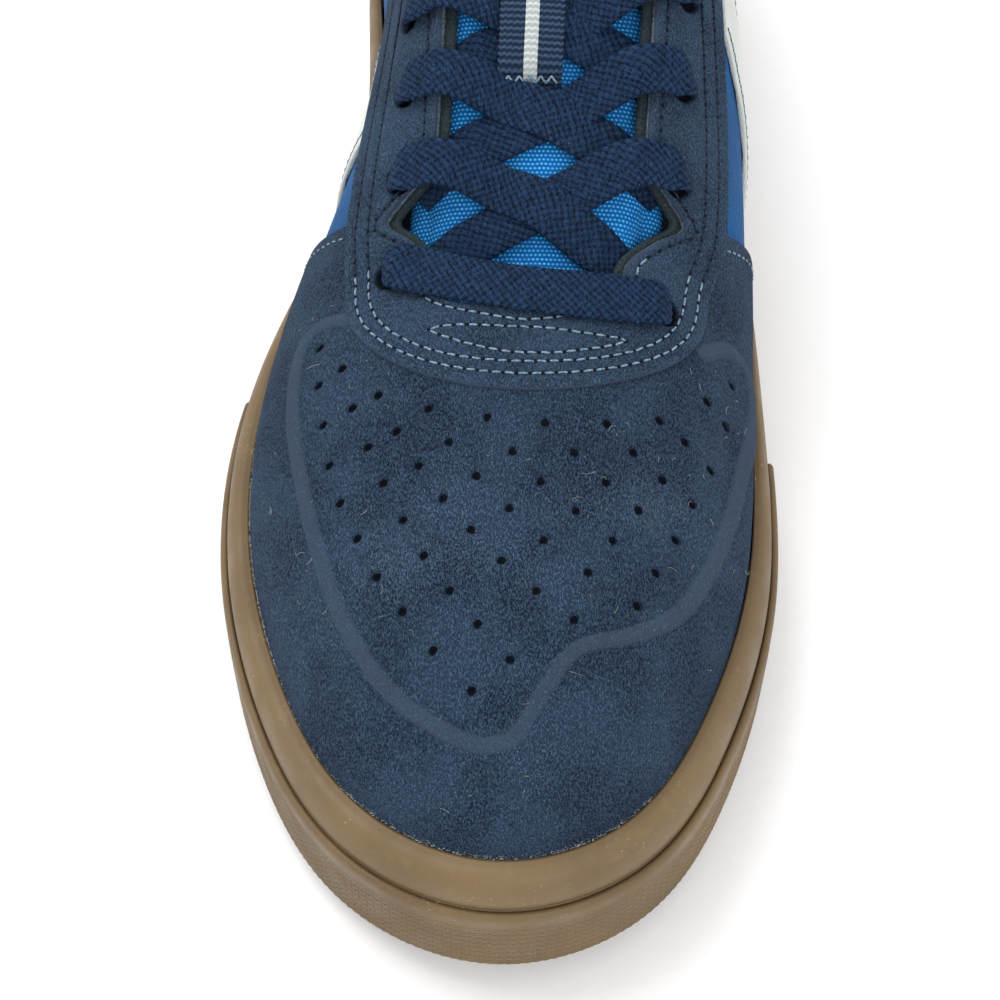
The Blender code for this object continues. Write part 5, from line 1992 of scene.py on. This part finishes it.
def makeFray():
    fibres = []
    for _ in range(fray["count"]):
        q = random.uniform(fray["first"], fray["last"])
        height = lipHeight(np.array([q]))[0] + random.uniform(0.0, 0.9) ** 2 * mm
        turn = turnAtHeight(np.array(q), height)
        root = shell(np.array(q), turn, overlay["lift"] + overlay["rimShare"] * overlay["thick"])
        normal = shellNormal(np.array(q), turn)
        along = unit(shell(np.array(q + 0.001), turn) - shell(np.array(q), turn))
        angle = random.uniform(-1.2, 1.2)
        down = np.cross(normal, along)
        way = along * math.sin(angle) * random.choice((-1, 1))
        way = way + down * math.cos(angle) * random.choice((-0.4, 0.6))
        size = random.uniform(*fray["length"])
        curl = random.uniform(0.15, 0.6) * size
        across = unit(np.cross(way, normal))
        fibre = []
        for t in (0, 0.35, 0.7, 1.0):
            centre = root + way * size * t + normal * (curl * math.sin(2.2 * t) + 0.02 * mm)
            fibre.append((centre, across, normal, fray["thick"] * (1.1 - 0.8 * t)))
        fibres.append(fibre)
    addFibres("suedeFray", fibres)


def makeLint():
    fibres = []
    for _ in range(lint["count"]):
        q = random.choice((random.uniform(0.80, 1.0), random.uniform(0.0, 0.18)))
        low, high = (float(f(np.array(q))) for f in (rimTuck, underFacing))
        turn = low + (high - low) * random.uniform(0.15, 0.95)
        size = random.uniform(*lint["length"]) * random.uniform(0.3, 1.0)
        heading = random.uniform(0, 2 * math.pi)
        bend = random.uniform(-0.35, 0.35)
        base = shell(np.array(q), np.array(turn), overlay["lift"] + overlay["thick"] + 0.05 * mm)
        normal = shellNormal(np.array(q), np.array(turn))
        along = unit(np.cross(normal, (0.0, 0.0, 1.0)))
        beside = np.cross(normal, along)
        step = size / lint["steps"]
        fibre = []
        for k in range(lint["steps"]):
            way = along * math.cos(heading) + beside * math.sin(heading)
            base = base + way * step
            heading += bend
            across = np.cross(way, normal)
            arc = normal * 0.15 * mm * math.sin(math.pi * k / (lint["steps"] - 1))
            fibre.append((base + arc, across, normal, lint["thick"]))
        fibres.append(fibre)
    addFibres("suedeLint", fibres)


makeFray()
makeLint()
print("fray made")


# Hidden midsole keeps its solid

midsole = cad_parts["midsole"]
midsole.data.materials.clear()
midsole.data.materials.append(gum)


# Floor, light and camera

stage = {
    "floorSize": 5.0,
    "floor": (0.97, 0.97, 0.97),
    "sky": (1.0, 1.0, 1.0),
    "skyStrength": 0.95,
    "lights": (  # name, place, aim, size, watts
        ("keyPanel", (-0.5, 0.3, 1.1), (0, -0.05, 0.03), 0.9, 9.0),
        ("frontPanel", (0.5, -1.0, 0.9), (0, -0.05, 0.03), 0.8, 5.0),
    ),
}
view = {
    "azimuth": 0.0,
    "elevation": 56.0,
    "roll": 0.308,
    "distance": 0.4,
    "target": (0.0, -0.065, 0.03),
    "focus": 2.104,  # focal length in frame widths
}


def makeFloor():
    size = stage["floorSize"]
    points = np.array([(-size, -size, 0), (size, -size, 0), (size, size, 0), (-size, size, 0)], float)
    points[:, 2] -= 0.2 * mm
    material, tree, shader, place = newMaterial("palePaper", 0.9, {"Specular IOR Level": 0.1})
    grain = ramp(tree, noiseAt(tree, place, 3 * mm, 3), 0.3, 0.7, 0.985, 1.0)
    colour = put(tree, "HueSaturation", {"Value": grain, "Color": (*stage["floor"], 1)}).outputs[0]
    tree.links.new(colour, shader.inputs["Base Color"])
    floor = addMesh("floor", points, np.array([[0, 1, 2, 3]]), [material])


def makeLights():
    world = bpy.data.worlds.new("paleStudio")
    world.use_nodes = True
    world.node_tree.nodes["Background"].inputs["Color"].default_value = (*stage["sky"], 1)
    world.node_tree.nodes["Background"].inputs["Strength"].default_value = stage["skyStrength"]
    bpy.context.scene.world = world
    for name, place, aim, size, watts in stage["lights"]:
        data = bpy.data.lights.new(name, "AREA")
        data.shape = "DISK"
        data.size = size
        data.energy = watts
        lamp = bpy.data.objects.new(name, data)
        bpy.context.scene.collection.objects.link(lamp)
        lamp.location = place
        way = Vector(place) - Vector(aim)
        lamp.rotation_mode = "QUATERNION"
        lamp.rotation_quaternion = way.to_track_quat("Z", "Y")


def makeCamera():
    azimuth, elevation, roll = (math.radians(view[k]) for k in ("azimuth", "elevation", "roll"))
    back = np.array([
        math.sin(azimuth) * math.cos(elevation),
        -math.cos(azimuth) * math.cos(elevation),
        math.sin(elevation),
    ])
    right = np.array([math.cos(azimuth), math.sin(azimuth), 0])
    up = np.cross(back, right)
    turnedRight = right * math.cos(roll) + up * math.sin(roll)
    turnedUp = up * math.cos(roll) - right * math.sin(roll)
    place = np.array(view["target"]) + back * view["distance"]
    data = bpy.data.cameras.new("photoCamera")
    data.sensor_width = 36
    data.lens = 36 * view["focus"]
    data.clip_start = 0.01
    data.clip_end = 20
    camera = bpy.data.objects.new("photoCamera", data)
    bpy.context.scene.collection.objects.link(camera)
    matrix = np.eye(4)
    matrix[:3, 0] = turnedRight
    matrix[:3, 1] = turnedUp
    matrix[:3, 2] = back
    matrix[:3, 3] = place
    camera.matrix_world = Matrix(matrix.tolist())
    bpy.context.scene.camera = camera


makeFloor()
makeLights()
makeCamera()
bpy.context.scene.view_settings.view_transform = "Standard"
print("stage made")
